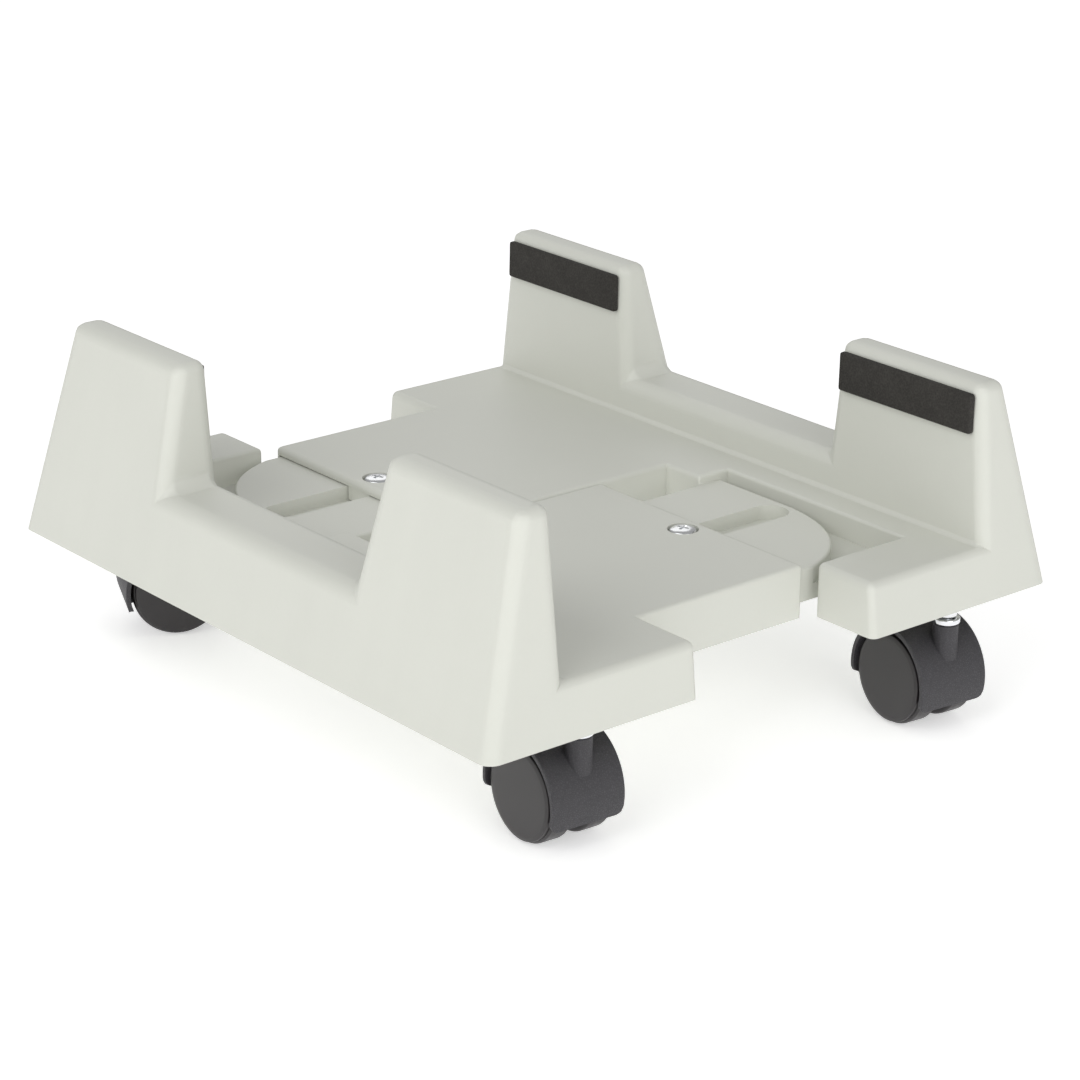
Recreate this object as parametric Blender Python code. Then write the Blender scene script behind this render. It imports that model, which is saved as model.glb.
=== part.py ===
"""Mobile stand for a computer tower: two sliding plastic halves on four twin-wheel casters.

Frame: X is the width, along which the halves slide. Y is the depth, along the rails. Z is up.
The origin is on the floor, in the middle of the stand's bounding box.

One half is described in its own half frame, in millimetres:
u runs inward from the bottom edge of the outer face, v runs along the rail from the end that
carries the deck, and h runs up from the bottom edge of the moulding.
The right half is the same moulding turned half a turn about Z.
"""
import math

import bmesh
import bpy
from mathutils import Matrix, Vector

MM = 0.001
GAP = 0.3

# Overall sizes of the stand
WIDTH = 238.6
DEPTH = 254.0
SKIRT_BOTTOM = 44.0
SHIFT_Y = -3.533

# Heights of the moulding above its bottom edge
DECK_TOP = 18.3
RAIL_TOP = 31.1
POST_TOP = 71.8
PLATEAU_TOP = 15.3
GUTTER_TOP = 9.3
TONGUE_BOTTOM = 4.0

# Outer face and end faces lean inward as they rise
OUTER_LEAN = 0.253
END_LEAN = 0.111
INNER_FACE_LOW = 31.0
INNER_FACE_HIGH = 30.0

# Posts along the rail: foot and head of the side that faces the gap
POST_FOOT = 75.6
POST_HEAD = 71.8

# Plan of the deck side
LONG_BLOCK_U = 82.0
SHORT_BLOCK_U = 82.4
SHORT_BLOCK_V = 227.85
DECK_U = 152.1
DECK_FRONT_V = 28.05
DECK_INNER_V = 126.7
LEDGE_U = 43.0
STOP_U = 56.3
STOP_V = 143.4
TONGUE_U = 146.0
TONGUE_FAR_V = 223.55

# Channel in the tongue, and the guide block that slides in it
CHANNEL_V = 177.9
CHANNEL_WIDTH = 12.7
CHANNEL_START_U = 49.0
CHANNEL_END_U = 140.0
CHANNEL_FLOOR = 10.2
SLOT_WIDTH = 4.8
GUIDE_WIDTH = 11.9
GUIDE_BOTTOM = 10.6
GUIDE_START_U = 134.0

# Walls
WALL = 2.6
SKIRT = 2.0
DECK_UNDERSIDE = DECK_TOP - WALL

# Clamp screw
SCREW_U = 143.6
SCREW_V = DEPTH - CHANNEL_V
SCREW_HEAD_R = 4.6
SCREW_SHANK_R = 1.9

# Caster seats: (u, v) of the swivel axis in the half frame
SEAT_LONG = (46.4, 14.1)
SEAT_SHORT = (40.5, DEPTH - 7.7)
BOSS_R = 5.6
BOSS_HOLE_R = 4.6

# Caster, in its own frame: x along the axle, y from the swivel axis towards the axle
WHEEL_R = 16.1
AXLE_OFFSET = 12.65
AXLE_HALF = 9.8
CASTER_HALF_WIDTH = 13.25
WEB_HALF = 3.1
WEB_BOTTOM = 10.5
HOOD_R = 18.65
CAP_R = 13.7
HOOD_INNER_R = 17.0
HOOD_HALF_WIDTH = 13.5
HOOD_FRONT_END = -21.0
HOOD_BACK_END = 194.0
HOOD_CORNER = 3.0
HOOD_TOP = 37.2

# Foam pads on the inner faces of the posts: middle along the rail, and length on each half
PAD_V = (40.0, 214.0)
PAD_LENGTH = {"left": 53.0, "right": 60.0}
PAD_LOW = 55.2
PAD_HIGH = 68.6
PAD_THICK = 2.0

BODY_COLOUR = (0.62, 0.63, 0.58, 1.0)
FOAM_COLOUR = (0.030, 0.028, 0.026, 1.0)
WHEEL_COLOUR = (0.045, 0.040, 0.040, 1.0)
HOOD_COLOUR = (0.062, 0.058, 0.064, 1.0)
CHROME_COLOUR = (0.80, 0.81, 0.83, 1.0)
ZINC_COLOUR = (0.66, 0.67, 0.68, 1.0)
NYLON_COLOUR = (0.55, 0.55, 0.52, 1.0)


def clear_scene():
    """Remove every object of the scene."""
    for obj in list(bpy.data.objects):
        bpy.data.objects.remove(obj, do_unlink=True)


def make_material(name, colour, roughness, metallic):
    """Return a Principled material."""
    material = bpy.data.materials.new(name)
    material.use_nodes = True
    shader = material.node_tree.nodes["Principled BSDF"]
    shader.inputs["Base Color"].default_value = colour
    shader.inputs["Roughness"].default_value = roughness
    shader.inputs["Metallic"].default_value = metallic
    return material


def link_mesh(name, mesh, material=None):
    """Make an object from a mesh and put it in the scene."""
    obj = bpy.data.objects.new(name, mesh)
    bpy.context.scene.collection.objects.link(obj)
    if material is not None and not mesh.materials:
        mesh.materials.append(material)
    return obj


def mesh_from_bmesh(name, bm):
    """Turn a bmesh into a mesh with its faces pointing out."""
    bmesh.ops.recalc_face_normals(bm, faces=bm.faces[:])
    mesh = bpy.data.meshes.new(name)
    bm.to_mesh(mesh)
    bm.free()
    return mesh


def loft(name, low, high):
    """Closed solid between two outlines with the same number of points."""
    bm = bmesh.new()
    bottom = [bm.verts.new(Vector(p) * MM) for p in low]
    top = [bm.verts.new(Vector(p) * MM) for p in high]
    bm.faces.new(list(reversed(bottom)))
    bm.faces.new(top)
    count = len(bottom)
    for i in range(count):
        j = (i + 1) % count
        bm.faces.new((bottom[i], bottom[j], top[j], top[i]))
    return link_mesh(name, mesh_from_bmesh(name, bm))


def slab(name, outline, low, high):
    """Upright prism over a plan outline of (u, v) points, between two heights."""
    bottom = [(u, v, low) for u, v in outline]
    top = [(u, v, high) for u, v in outline]
    return loft(name, bottom, top)


def box(name, low, high):
    """Axis-aligned box between two corners."""
    outline = [(low[0], low[1]), (high[0], low[1]), (high[0], high[1]), (low[0], high[1])]
    return slab(name, outline, low[2], high[2])


def cylinder(name, centre, radius, low, high, segments=24):
    """Upright cylinder over a plan centre."""
    outline = []
    for i in range(segments):
        angle = 2 * math.pi * i / segments
        outline.append((centre[0] + radius * math.cos(angle), centre[1] + radius * math.sin(angle)))
    return slab(name, outline, low, high)


def x_cylinder(name, y, z, radius, low, high, segments=32):
    """Cylinder along X between two x positions."""
    ring = []
    for i in range(segments):
        angle = 2 * math.pi * i / segments
        ring.append((y + radius * math.cos(angle), z + radius * math.sin(angle)))
    return loft(name, [(low, a, b) for a, b in ring], [(high, a, b) for a, b in ring])


def bake(obj):
    """Replace an object's mesh by its evaluated mesh and drop its modifiers."""
    graph = bpy.context.evaluated_depsgraph_get()
    mesh = bpy.data.meshes.new_from_object(obj.evaluated_get(graph))
    obj.modifiers.clear()
    obj.data = mesh
    return obj


def combine(target, tool, operation):
    """Boolean a tool into a target and remove the tool."""
    modifier = target.modifiers.new("combine", "BOOLEAN")
    modifier.operation = operation
    modifier.solver = "EXACT"
    modifier.object = tool
    bake(target)
    bpy.data.objects.remove(tool, do_unlink=True)
    return target


def join(target, *tools):
    """Union several solids into one."""
    for tool in tools:
        combine(target, tool, "UNION")
    return target


def cut(target, *tools):
    """Take several solids out of one."""
    for tool in tools:
        combine(target, tool, "DIFFERENCE")
    return target


def inner_face(h):
    """Inward position of the post and rail inner face at a height."""
    return INNER_FACE_LOW + (INNER_FACE_HIGH - INNER_FACE_LOW) * h / POST_TOP


def facing_side(h):
    """Position along the rail of the post side that faces the gap, at a height."""
    slope = (POST_HEAD - POST_FOOT) / (POST_TOP - RAIL_TOP)
    return POST_FOOT + slope * (h - RAIL_TOP)


def rail_outline(margin):
    """Side view of rail and posts as (v, h) points, set in by a wall thickness."""
    end_low = margin + END_LEAN * (0.0 - margin) if margin else -12.0
    end_high = margin + END_LEAN * (POST_TOP - margin) if margin else -12.0
    bottom = -2.0 if margin else 0.0
    top = POST_TOP - margin
    deck = RAIL_TOP - margin
    head = facing_side(top) - margin
    foot = facing_side(deck) - margin
    return [
        (end_low, bottom),
        (DEPTH - end_low, bottom),
        (DEPTH - end_high, top),
        (DEPTH - head, top),
        (DEPTH - foot, deck),
        (foot, deck),
        (head, top),
        (end_high, top),
    ]


def rail_solid(name, margin):
    """Rail with its two posts; with a margin, the hollow inside it."""
    outline = rail_outline(margin)
    inner = [(inner_face(h) - margin, v, h) for v, h in outline]
    if margin:
        outer = [(OUTER_LEAN * h + margin, v, h) for v, h in outline]
    else:
        outer = [(-12.0, v, h) for v, h in outline]
    return loft(name, outer, inner)


def plateau_outline():
    """Plan of the tongue: straight sides and one large rounded corner by the rail."""
    start = Vector((46.5, 180.0))
    control = Vector((50.0, 214.0))
    finish = Vector((80.0, TONGUE_FAR_V))
    points = [(46.5, STOP_V), (TONGUE_U - 2.0, STOP_V), (TONGUE_U, STOP_V + 2.0)]
    points += [(TONGUE_U, TONGUE_FAR_V - 2.0), (TONGUE_U - 2.0, TONGUE_FAR_V)]
    steps = 7
    for i in range(steps + 1):
        t = 1.0 - i / steps
        p = (1 - t) ** 2 * start + 2 * t * (1 - t) * control + t * t * finish
        points.append((p.x, p.y))
    return points


def channel_outline(width, start, end):
    """Plan of a slot along u with a rounded closed end near the rail."""
    half = width / 2
    points = [(end, CHANNEL_V - half), (end, CHANNEL_V + half)]
    steps = 8
    for i in range(steps + 1):
        angle = math.pi / 2 + math.pi * i / steps
        points.append((start + half + half * math.cos(angle), CHANNEL_V + half * math.sin(angle)))
    return points


def trim_faces(solid):
    """Cut the leaning outer face and the two leaning end faces."""
    low, high = -3.0, 80.0
    far = -40.0
    wedge = [(far, -60.0), (OUTER_LEAN * low, -60.0), (OUTER_LEAN * high, -60.0), (far, -60.0)]
    heights = (low, low, high, high)
    first = [(u, -60.0, h) for (u, _), h in zip(wedge, heights)]
    last = [(u, DEPTH + 60.0, h) for (u, _), h in zip(wedge, heights)]
    cut(solid, loft("outer_trim", first, last))
    profile = [(far, low), (END_LEAN * low, low), (END_LEAN * high, high), (far, high)]
    first = [(-60.0, v, h) for v, h in profile]
    last = [(200.0, v, h) for v, h in profile]
    cut(solid, loft("front_trim", first, last))
    first = [(-60.0, DEPTH - v, h) for v, h in profile]
    last = [(200.0, DEPTH - v, h) for v, h in profile]
    cut(solid, loft("back_trim", first, last))
    return solid


def edge_radius(a, b):
    """Rounding of one edge of the outer skin, from where it lies, in millimetres."""
    middle = (a + b) / 2
    u, v, h = middle
    if max(a.z, b.z) < 0.1:
        return 0.0
    on_outer = abs(u - OUTER_LEAN * h) < 0.05
    on_inner = abs(u - inner_face(h)) < 0.05 and h > DECK_TOP + 0.1
    on_end = min(abs(v - END_LEAN * h), abs(DEPTH - v - END_LEAN * h)) < 0.05
    if min(a.z, b.z) > POST_TOP - 0.1:
        return 3.6
    if on_outer or (on_inner and h > DECK_TOP + 1.0):
        return 4.6 if abs(a.z - b.z) > 1.0 or h > RAIL_TOP - 1.0 else 0.0
    if h > DECK_TOP + 1.0:
        return 4.6
    if on_end and u > INNER_FACE_LOW:
        return 2.6
    level = min(a.z, b.z) > DECK_TOP - 0.1
    if level and abs(u - inner_face(h)) < 0.1:
        return 0.0
    if level and (abs(u - LONG_BLOCK_U) < 0.5 and (v < DECK_FRONT_V or v > SHORT_BLOCK_V)):
        return 2.6
    if level and abs(u - DECK_U) < 0.1:
        return 2.0
    if level:
        return 1.2
    if abs(a.z - b.z) > 8.0 and u > 80.0 and (v < 60.0 or v > 225.0):
        return 1.6
    if min(a.z, b.z) > PLATEAU_TOP - 0.1:
        return 0.8
    return 0.0


def round_edges(solid):
    """Round the edges of the outer skin with one weighted bevel."""
    widest = 4.6
    bm = bmesh.new()
    bm.from_mesh(solid.data)
    bmesh.ops.remove_doubles(bm, verts=bm.verts[:], dist=0.00002)
    bmesh.ops.dissolve_limit(
        bm,
        angle_limit=math.radians(0.5),
        verts=bm.verts[:],
        edges=bm.edges[:],
    )
    layer = bm.edges.layers.float.new("bevel_weight_edge")
    for edge in bm.edges:
        if len(edge.link_faces) != 2 or edge.calc_face_angle(0.0) < math.radians(12):
            continue
        a, b = (vert.co / MM for vert in edge.verts)
        edge[layer] = edge_radius(a, b) / widest
    bm.to_mesh(solid.data)
    bm.free()
    modifier = solid.modifiers.new("round", "BEVEL")
    modifier.limit_method = "WEIGHT"
    modifier.width = widest * MM
    modifier.segments = 3
    modifier.use_clamp_overlap = True
    return bake(solid)


def deck_level_outline():
    """Plan of everything whose top is at deck height."""
    return [
        (20.0, -12.0),
        (LONG_BLOCK_U, -12.0),
        (LONG_BLOCK_U, DECK_FRONT_V),
        (DECK_U, DECK_FRONT_V),
        (DECK_U, DECK_INNER_V),
        (STOP_U, DECK_INNER_V),
        (STOP_U, STOP_V),
        (LEDGE_U, STOP_V),
        (LEDGE_U, SHORT_BLOCK_V),
        (SHORT_BLOCK_U, SHORT_BLOCK_V),
        (SHORT_BLOCK_U, DEPTH + 12.0),
        (20.0, DEPTH + 12.0),
    ]


def sloped_pocket(name, low_corner, high_corner, end):
    """Hollow with one side parallel to a leaning end face; end is -1 or 1."""
    u0, v0 = low_corner
    u1, v1 = high_corner
    lean = END_LEAN * (DECK_UNDERSIDE + 2.0)
    low = [(u0, v0, -2.0), (u1, v0, -2.0), (u1, v1, -2.0), (u0, v1, -2.0)]
    if end < 0:
        high = [(u0, v0 + lean), (u1, v0 + lean), (u1, v1), (u0, v1)]
    else:
        high = [(u0, v0), (u1, v0), (u1, v1 - lean), (u0, v1 - lean)]
    return loft(name, low, [(u, v, DECK_UNDERSIDE) for u, v in high])


def hollow_out(solid):
    """Take out the underside so that only walls, skirts and ribs stay."""
    inner = INNER_FACE_LOW
    cut(solid, rail_solid("rail_hollow", WALL))
    cut(solid, sloped_pocket("long_block_hollow", (inner, WALL), (LONG_BLOCK_U - SKIRT, DECK_FRONT_V), -1))
    cut(solid, sloped_pocket("short_block_hollow", (inner, SHORT_BLOCK_V + SKIRT),
                             (SHORT_BLOCK_U - SKIRT, DEPTH - WALL), 1))
    cut(solid, box("deck_hollow", (inner, DECK_FRONT_V + SKIRT, -2.0),
                   (DECK_U + 10.0, DECK_INNER_V - SKIRT, DECK_UNDERSIDE)))
    cut(solid, box("stop_hollow", (inner, DECK_INNER_V, -2.0),
                   (STOP_U - SKIRT, STOP_V - SKIRT, DECK_UNDERSIDE)))
    cut(solid, box("ledge_hollow", (inner, STOP_V, -2.0),
                   (LEDGE_U - SKIRT, SHORT_BLOCK_V, DECK_UNDERSIDE)))
    near = CHANNEL_V - CHANNEL_WIDTH / 2 - SKIRT
    far = CHANNEL_V + CHANNEL_WIDTH / 2 + SKIRT
    ceiling = PLATEAU_TOP - 2.4
    end = TONGUE_U - SKIRT
    cut(solid, box("tongue_hollow_a", (84.0, STOP_V + SKIRT, 1.0), (end, near, ceiling)))
    cut(solid, box("tongue_hollow_b", (84.0, far, 1.0), (end, TONGUE_FAR_V - SKIRT, ceiling)))
    cut(solid, box("tongue_hollow_c", (LEDGE_U, near, 1.0), (end, far, CHANNEL_FLOOR - 2.4)))
    cut(solid, box("root_hollow_a", (LEDGE_U, STOP_V + SKIRT, 1.0), (82.0, near, 6.9)))
    cut(solid, box("root_hollow_b", (LEDGE_U, far, 1.0), (82.0, TONGUE_FAR_V - SKIRT, 6.9)))
    return solid


def build_shell():
    """Model one whole half moulding in its half frame."""
    solid = rail_solid("shell", 0.0)
    gutter = box("gutter", (38.0, STOP_V - 3.0, TONGUE_BOTTOM), (80.0, TONGUE_FAR_V, GUTTER_TOP))
    tongue = slab("tongue", plateau_outline(), TONGUE_BOTTOM, PLATEAU_TOP)
    combine(tongue, gutter, "UNION")
    deck = slab("deck", deck_level_outline(), 0.0, DECK_TOP)
    join(solid, deck, tongue)
    trim_faces(solid)
    round_edges(solid)
    hollow_out(solid)
    half = GUIDE_WIDTH / 2
    guide = box("guide", (GUIDE_START_U, SCREW_V - half, GUIDE_BOTTOM),
                (DECK_U - 0.4, SCREW_V + half, DECK_UNDERSIDE + 0.8))
    boss_long = cylinder("boss_long", SEAT_LONG, BOSS_R, 0.0, DECK_UNDERSIDE + 0.9)
    boss_short = cylinder("boss_short", SEAT_SHORT, BOSS_R, 0.0, DECK_UNDERSIDE + 0.9)
    web_long = box("web_long", (SEAT_LONG[0] - 1.0, 1.9, 2.0), (SEAT_LONG[0] + 1.0, 29.0, DECK_UNDERSIDE + 0.7))
    web_short = box("web_short", (SEAT_SHORT[0] - 1.0, 228.5, 2.0),
                    (SEAT_SHORT[0] + 1.0, SEAT_SHORT[1], DECK_UNDERSIDE + 0.7))
    join(solid, guide, web_long, web_short, boss_long, boss_short)
    cut(solid, slab("channel", channel_outline(CHANNEL_WIDTH, CHANNEL_START_U, CHANNEL_END_U),
                    CHANNEL_FLOOR, PLATEAU_TOP + 5.0))
    cut(solid, slab("slot", channel_outline(SLOT_WIDTH, CHANNEL_START_U + 5.0, CHANNEL_END_U - 4.0),
                    2.0, PLATEAU_TOP + 5.0))
    cut(solid, cylinder("counterbore", (SCREW_U, SCREW_V), 5.3, 16.5, 22.0))
    cut(solid, cylinder("screw_hole", (SCREW_U, SCREW_V), 2.3, 5.0, 22.0, 16))
    for seat in (SEAT_LONG, SEAT_SHORT):
        cut(solid, cylinder("seat", seat, BOSS_HOLE_R, -2.0, 14.6))
    return solid


def keep_region(solid, name, outside, kept_plan):
    """Copy of a solid, cut down to the plan areas of one section; the gap to its neighbour is left out."""
    section = link_mesh(name, solid.data.copy())
    for low, high in outside:
        cut(section, box("outside", (*low, -5.0), (*high, 80.0)))
    if kept_plan:
        outline = slab("kept", kept_plan, -5.0, 80.0)
        combine(section, outline, "INTERSECT")
    return section


def build_section_meshes():
    """The half moulding as three sections: rail with posts, deck with blocks, and tongue."""
    solid = build_shell()
    seam = INNER_FACE_LOW + 0.2
    root_u, root_v = LEDGE_U, STOP_V
    strip_u = STOP_U + 0.05
    below_stop = DECK_INNER_V + 3.0
    far_v = TONGUE_FAR_V + 2.0
    end_u = DECK_U + 10.0
    tongue_plan = [
        (root_u + GAP, root_v + GAP),
        (strip_u + GAP, root_v + GAP),
        (strip_u + GAP, below_stop),
        (end_u, below_stop),
        (end_u, far_v),
        (root_u + GAP, far_v),
    ]
    rail = keep_region(solid, "rail", [((seam, -20.0), (end_u, DEPTH + 20.0))], None)
    tongue = keep_region(solid, "tongue", [], tongue_plan)
    deck = keep_region(solid, "deck", [
        ((-20.0, -20.0), (seam + GAP, DEPTH + 20.0)),
        ((root_u, root_v), (end_u, far_v)),
        ((strip_u, below_stop), (end_u, root_v + 1.0)),
    ], None)
    bpy.data.objects.remove(solid, do_unlink=True)
    meshes = {}
    for section in (rail, deck, tongue):
        name = section.name
        mesh = section.data
        bpy.data.objects.remove(section, do_unlink=True)
        bm = bmesh.new()
        bm.from_mesh(mesh)
        bmesh.ops.remove_doubles(bm, verts=bm.verts[:], dist=0.00001)
        corner = Vector((-WIDTH / 2, -DEPTH / 2, SKIRT_BOTTOM)) * MM
        bmesh.ops.translate(bm, verts=bm.verts[:], vec=corner)
        bm.to_mesh(mesh)
        bm.free()
        mesh.name = "half_" + name
        meshes[name] = mesh
    return meshes


def smooth(obj, angle=40.0):
    """Shade a piece smooth, with sharp edges kept."""
    obj.data.shade_smooth()
    obj.data.set_sharp_from_angle(angle=math.radians(angle))
    return obj


def turned(name, profile, segments, material, axis="Z"):
    """Solid of revolution from a closed (radius, height) profile around Z or X."""
    bm = bmesh.new()
    rings = []
    for i in range(segments):
        angle = 2 * math.pi * i / segments
        c, s = math.cos(angle), math.sin(angle)
        ring = []
        for r, height in profile:
            point = (r * c, r * s, height) if axis == "Z" else (height, r * c, r * s)
            ring.append(bm.verts.new(Vector(point) * MM))
        rings.append(ring)
    count = len(profile)
    for i in range(segments):
        here, after = rings[i], rings[(i + 1) % segments]
        for k in range(count):
            m = (k + 1) % count
            bm.faces.new((here[k], after[k], after[m], here[m]))
    bmesh.ops.remove_doubles(bm, verts=bm.verts[:], dist=0.00001)
    return smooth(link_mesh(name, mesh_from_bmesh(name, bm), material))


def hood_half_width(angle):
    """Half width of the hood at an angle round the axle, narrowed by the rounded bottom corners."""
    from_end = min(angle - HOOD_FRONT_END, HOOD_BACK_END - angle)
    reach = math.radians(from_end) * HOOD_R
    if reach >= HOOD_CORNER:
        return HOOD_HALF_WIDTH
    missing = HOOD_CORNER - reach
    return HOOD_HALF_WIDTH - HOOD_CORNER + math.sqrt(max(0.0, HOOD_CORNER ** 2 - missing ** 2))


def hood_angles():
    """Angles round the axle of the hood's outline, close together at the rounded corners."""
    corner = math.degrees(HOOD_CORNER / HOOD_R)
    start = HOOD_FRONT_END + corner
    finish = HOOD_BACK_END - corner
    angles = [HOOD_FRONT_END, HOOD_FRONT_END + corner * 0.13, HOOD_FRONT_END + corner * 0.5]
    steps = 20
    for i in range(steps + 1):
        angles.append(start + (finish - start) * i / steps)
    angles += [HOOD_BACK_END - corner * 0.5, HOOD_BACK_END - corner * 0.13, HOOD_BACK_END]
    return angles


def build_hood_mesh(material):
    """Swivelling body between the wheels, in the caster frame, origin on the swivel axis."""
    bm = bmesh.new()
    sides = []
    for side in (-1, 1):
        centre = bm.verts.new(Vector((side * HOOD_HALF_WIDTH, AXLE_OFFSET, WHEEL_R)) * MM)
        ring = []
        for angle in hood_angles():
            a = math.radians(angle)
            y = AXLE_OFFSET - HOOD_R * math.cos(a)
            z = WHEEL_R + HOOD_R * math.sin(a)
            ring.append(bm.verts.new(Vector((side * hood_half_width(angle), y, z)) * MM))
        for along in (10.0, -10.0):
            corner = Vector((side * HOOD_HALF_WIDTH, AXLE_OFFSET + along, WEB_BOTTOM)) * MM
            ring.append(bm.verts.new(corner))
        sides.append((centre, ring))
    (left_centre, left), (right_centre, right) = sides
    count = len(left)
    for i in range(count):
        j = (i + 1) % count
        bm.faces.new((left_centre, left[i], left[j]))
        bm.faces.new((right_centre, right[j], right[i]))
        bm.faces.new((left[j], left[i], right[i], right[j]))
    hood = link_mesh("hood_blank", mesh_from_bmesh("hood_blank", bm))
    boss = cylinder("boss", (0.0, 0.0), 4.2, 25.0, HOOD_TOP, 20)
    join(hood, boss)
    for side in (-1, 1):
        low, high = sorted((side * WEB_HALF, side * 20.0))
        cut(hood, x_cylinder("wheel_room", AXLE_OFFSET, WHEEL_R, HOOD_INNER_R, low, high, 32))
    arch = loft("arch", arch_ring(AXLE_OFFSET + 12.0), arch_ring(AXLE_OFFSET + 30.0))
    cut(hood, arch)
    cut(hood, cylinder("stem_bore", (0.0, 0.0), 2.6, 22.4, HOOD_TOP + 3.0, 16))
    cut(hood, x_cylinder("axle_bore", AXLE_OFFSET, WHEEL_R, 2.3, -8.0, 8.0, 16))
    mesh = hood.data
    bpy.data.objects.remove(hood, do_unlink=True)
    mesh.name = "caster_hood"
    mesh.materials.append(material)
    return mesh


def arch_ring(y):
    """Outline of the shallow arch in the back edge of the hood, across the caster."""
    points = []
    steps = 10
    for i in range(steps + 1):
        angle = math.pi * i / steps
        points.append((7.6 * math.cos(angle), y, 9.0 + 8.0 * math.sin(angle)))
    points.append((-7.6, y, 0.0))
    points.append((7.6, y, 0.0))
    return points


def build_wheel_mesh(material):
    """One wheel, in the caster frame with its axis along x through the origin, on the +x side."""
    low = WEB_HALF + 0.4
    high = CASTER_HALF_WIDTH
    profile = [
        (2.4, low),
        (WHEEL_R - 0.6, low),
        (WHEEL_R, low + 1.0),
        (WHEEL_R, high - 2.4),
        (WHEEL_R - 0.6, high - 0.7),
        (WHEEL_R - 1.6, high - 0.1),
        (CAP_R + 0.4, high - 1.9),
        (5.0, high - 2.1),
        (5.0, high - 3.2),
        (2.4, high - 3.2),
    ]
    wheel = turned("wheel_blank", profile, 28, material, "X")
    mesh = wheel.data
    bpy.data.objects.remove(wheel, do_unlink=True)
    mesh.name = "caster_wheel"
    return mesh


def build_cap_mesh(material):
    """Domed cap that closes the outer side of a wheel."""
    high = CASTER_HALF_WIDTH
    profile = [
        (0.0, high - 1.4),
        (CAP_R, high - 1.4),
        (CAP_R, high - 0.5),
        (CAP_R - 1.5, high - 0.1),
        (6.0, high),
        (0.0, high + 0.1),
    ]
    cap = turned("cap_blank", profile, 28, material, "X")
    mesh = cap.data
    bpy.data.objects.remove(cap, do_unlink=True)
    mesh.name = "wheel_cap"
    return mesh


def ring_profile(inner, outer, low, high):
    """Closed profile of a plain ring."""
    return [(inner, low), (outer, low), (outer, high), (inner, high)]


def stem_profile():
    """Steel stem: thin pivot in the hood, thicker shank in the socket, relative to the floor."""
    top = SKIRT_BOTTOM + 14.0
    return [
        (0.0, 23.4),
        (1.9, 23.4),
        (2.3, 23.8),
        (2.3, HOOD_TOP + 2.7),
        (3.5, HOOD_TOP + 2.7),
        (3.5, top - 0.6),
        (2.9, top),
        (0.0, top),
    ]


def place(obj, position, turn=0.0, parent=None):
    """Set location in millimetres and rotation about Z in degrees."""
    obj.location = Vector(position) * MM
    obj.rotation_euler = (0.0, 0.0, math.radians(turn))
    if parent is not None:
        obj.parent = parent
    return obj


def to_stand(side, u, v):
    """Half frame plan position to stand plan position, in millimetres."""
    x, y = u - WIDTH / 2, v - DEPTH / 2
    if side == "right":
        x, y = -x, -y
    return x, y + SHIFT_Y


def build_caster(prefix, x, y, turn, meshes, materials):
    """One caster: fixed stem, collar and bush, swivelling hood, axle, wheels and caps."""
    stem = turned(prefix + "_stem", stem_profile(), 16, materials["zinc"])
    place(stem, (x, y, 0.0))
    collar = turned(prefix + "_collar", ring_profile(2.65, 4.6, HOOD_TOP + 0.3, HOOD_TOP + 2.3), 20,
                    materials["chrome"])
    place(collar, (x, y, 0.0))
    bush = turned(prefix + "_bush", ring_profile(3.8, 4.3, SKIRT_BOTTOM + 0.4, SKIRT_BOTTOM + 13.6), 16,
                  materials["nylon"])
    place(bush, (x, y, 0.0))
    swivel = bpy.data.objects.new(prefix + "_swivel", None)
    bpy.context.scene.collection.objects.link(swivel)
    place(swivel, (x, y, 0.0), turn)
    hood = smooth(link_mesh(prefix + "_hood", meshes["hood"]))
    place(hood, (0.0, 0.0, 0.0), 0.0, swivel)
    spindle = bpy.data.objects.new(prefix + "_spindle", None)
    bpy.context.scene.collection.objects.link(spindle)
    place(spindle, (0.0, AXLE_OFFSET, WHEEL_R), 0.0, swivel)
    axle = x_cylinder(prefix + "_axle", 0.0, 0.0, 2.0, -AXLE_HALF, AXLE_HALF, 16)
    axle.data.materials.append(materials["zinc"])
    place(smooth(axle), (0.0, 0.0, 0.0), 0.0, spindle)
    for label, turned_by in (("a", 0.0), ("b", 180.0)):
        wheel = link_mesh(prefix + "_wheel_" + label, meshes["wheel"])
        place(wheel, (0.0, 0.0, 0.0), turned_by, spindle)
        cap = link_mesh(prefix + "_cap_" + label, meshes["cap"])
        place(cap, (0.0, 0.0, 0.0), turned_by, spindle)


def build_pad(name, side, middle, material):
    """Foam pad on the inner face of a post."""
    corners = []
    for h in (PAD_LOW, PAD_HIGH):
        face = inner_face(h) + GAP
        for u, v in ((face, -1), (face + PAD_THICK, -1), (face + PAD_THICK, 1), (face, 1)):
            x, y = to_stand(side, u, middle + v * PAD_LENGTH[side] / 2)
            corners.append((x, y, h + SKIRT_BOTTOM))
    origin = sum((Vector(c) for c in corners), Vector()) / 8
    local = [Vector(c) - origin for c in corners]
    pad = loft(name, local[:4], local[4:])
    pad.data.materials.append(material)
    pad.location = origin * MM
    return pad


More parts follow.
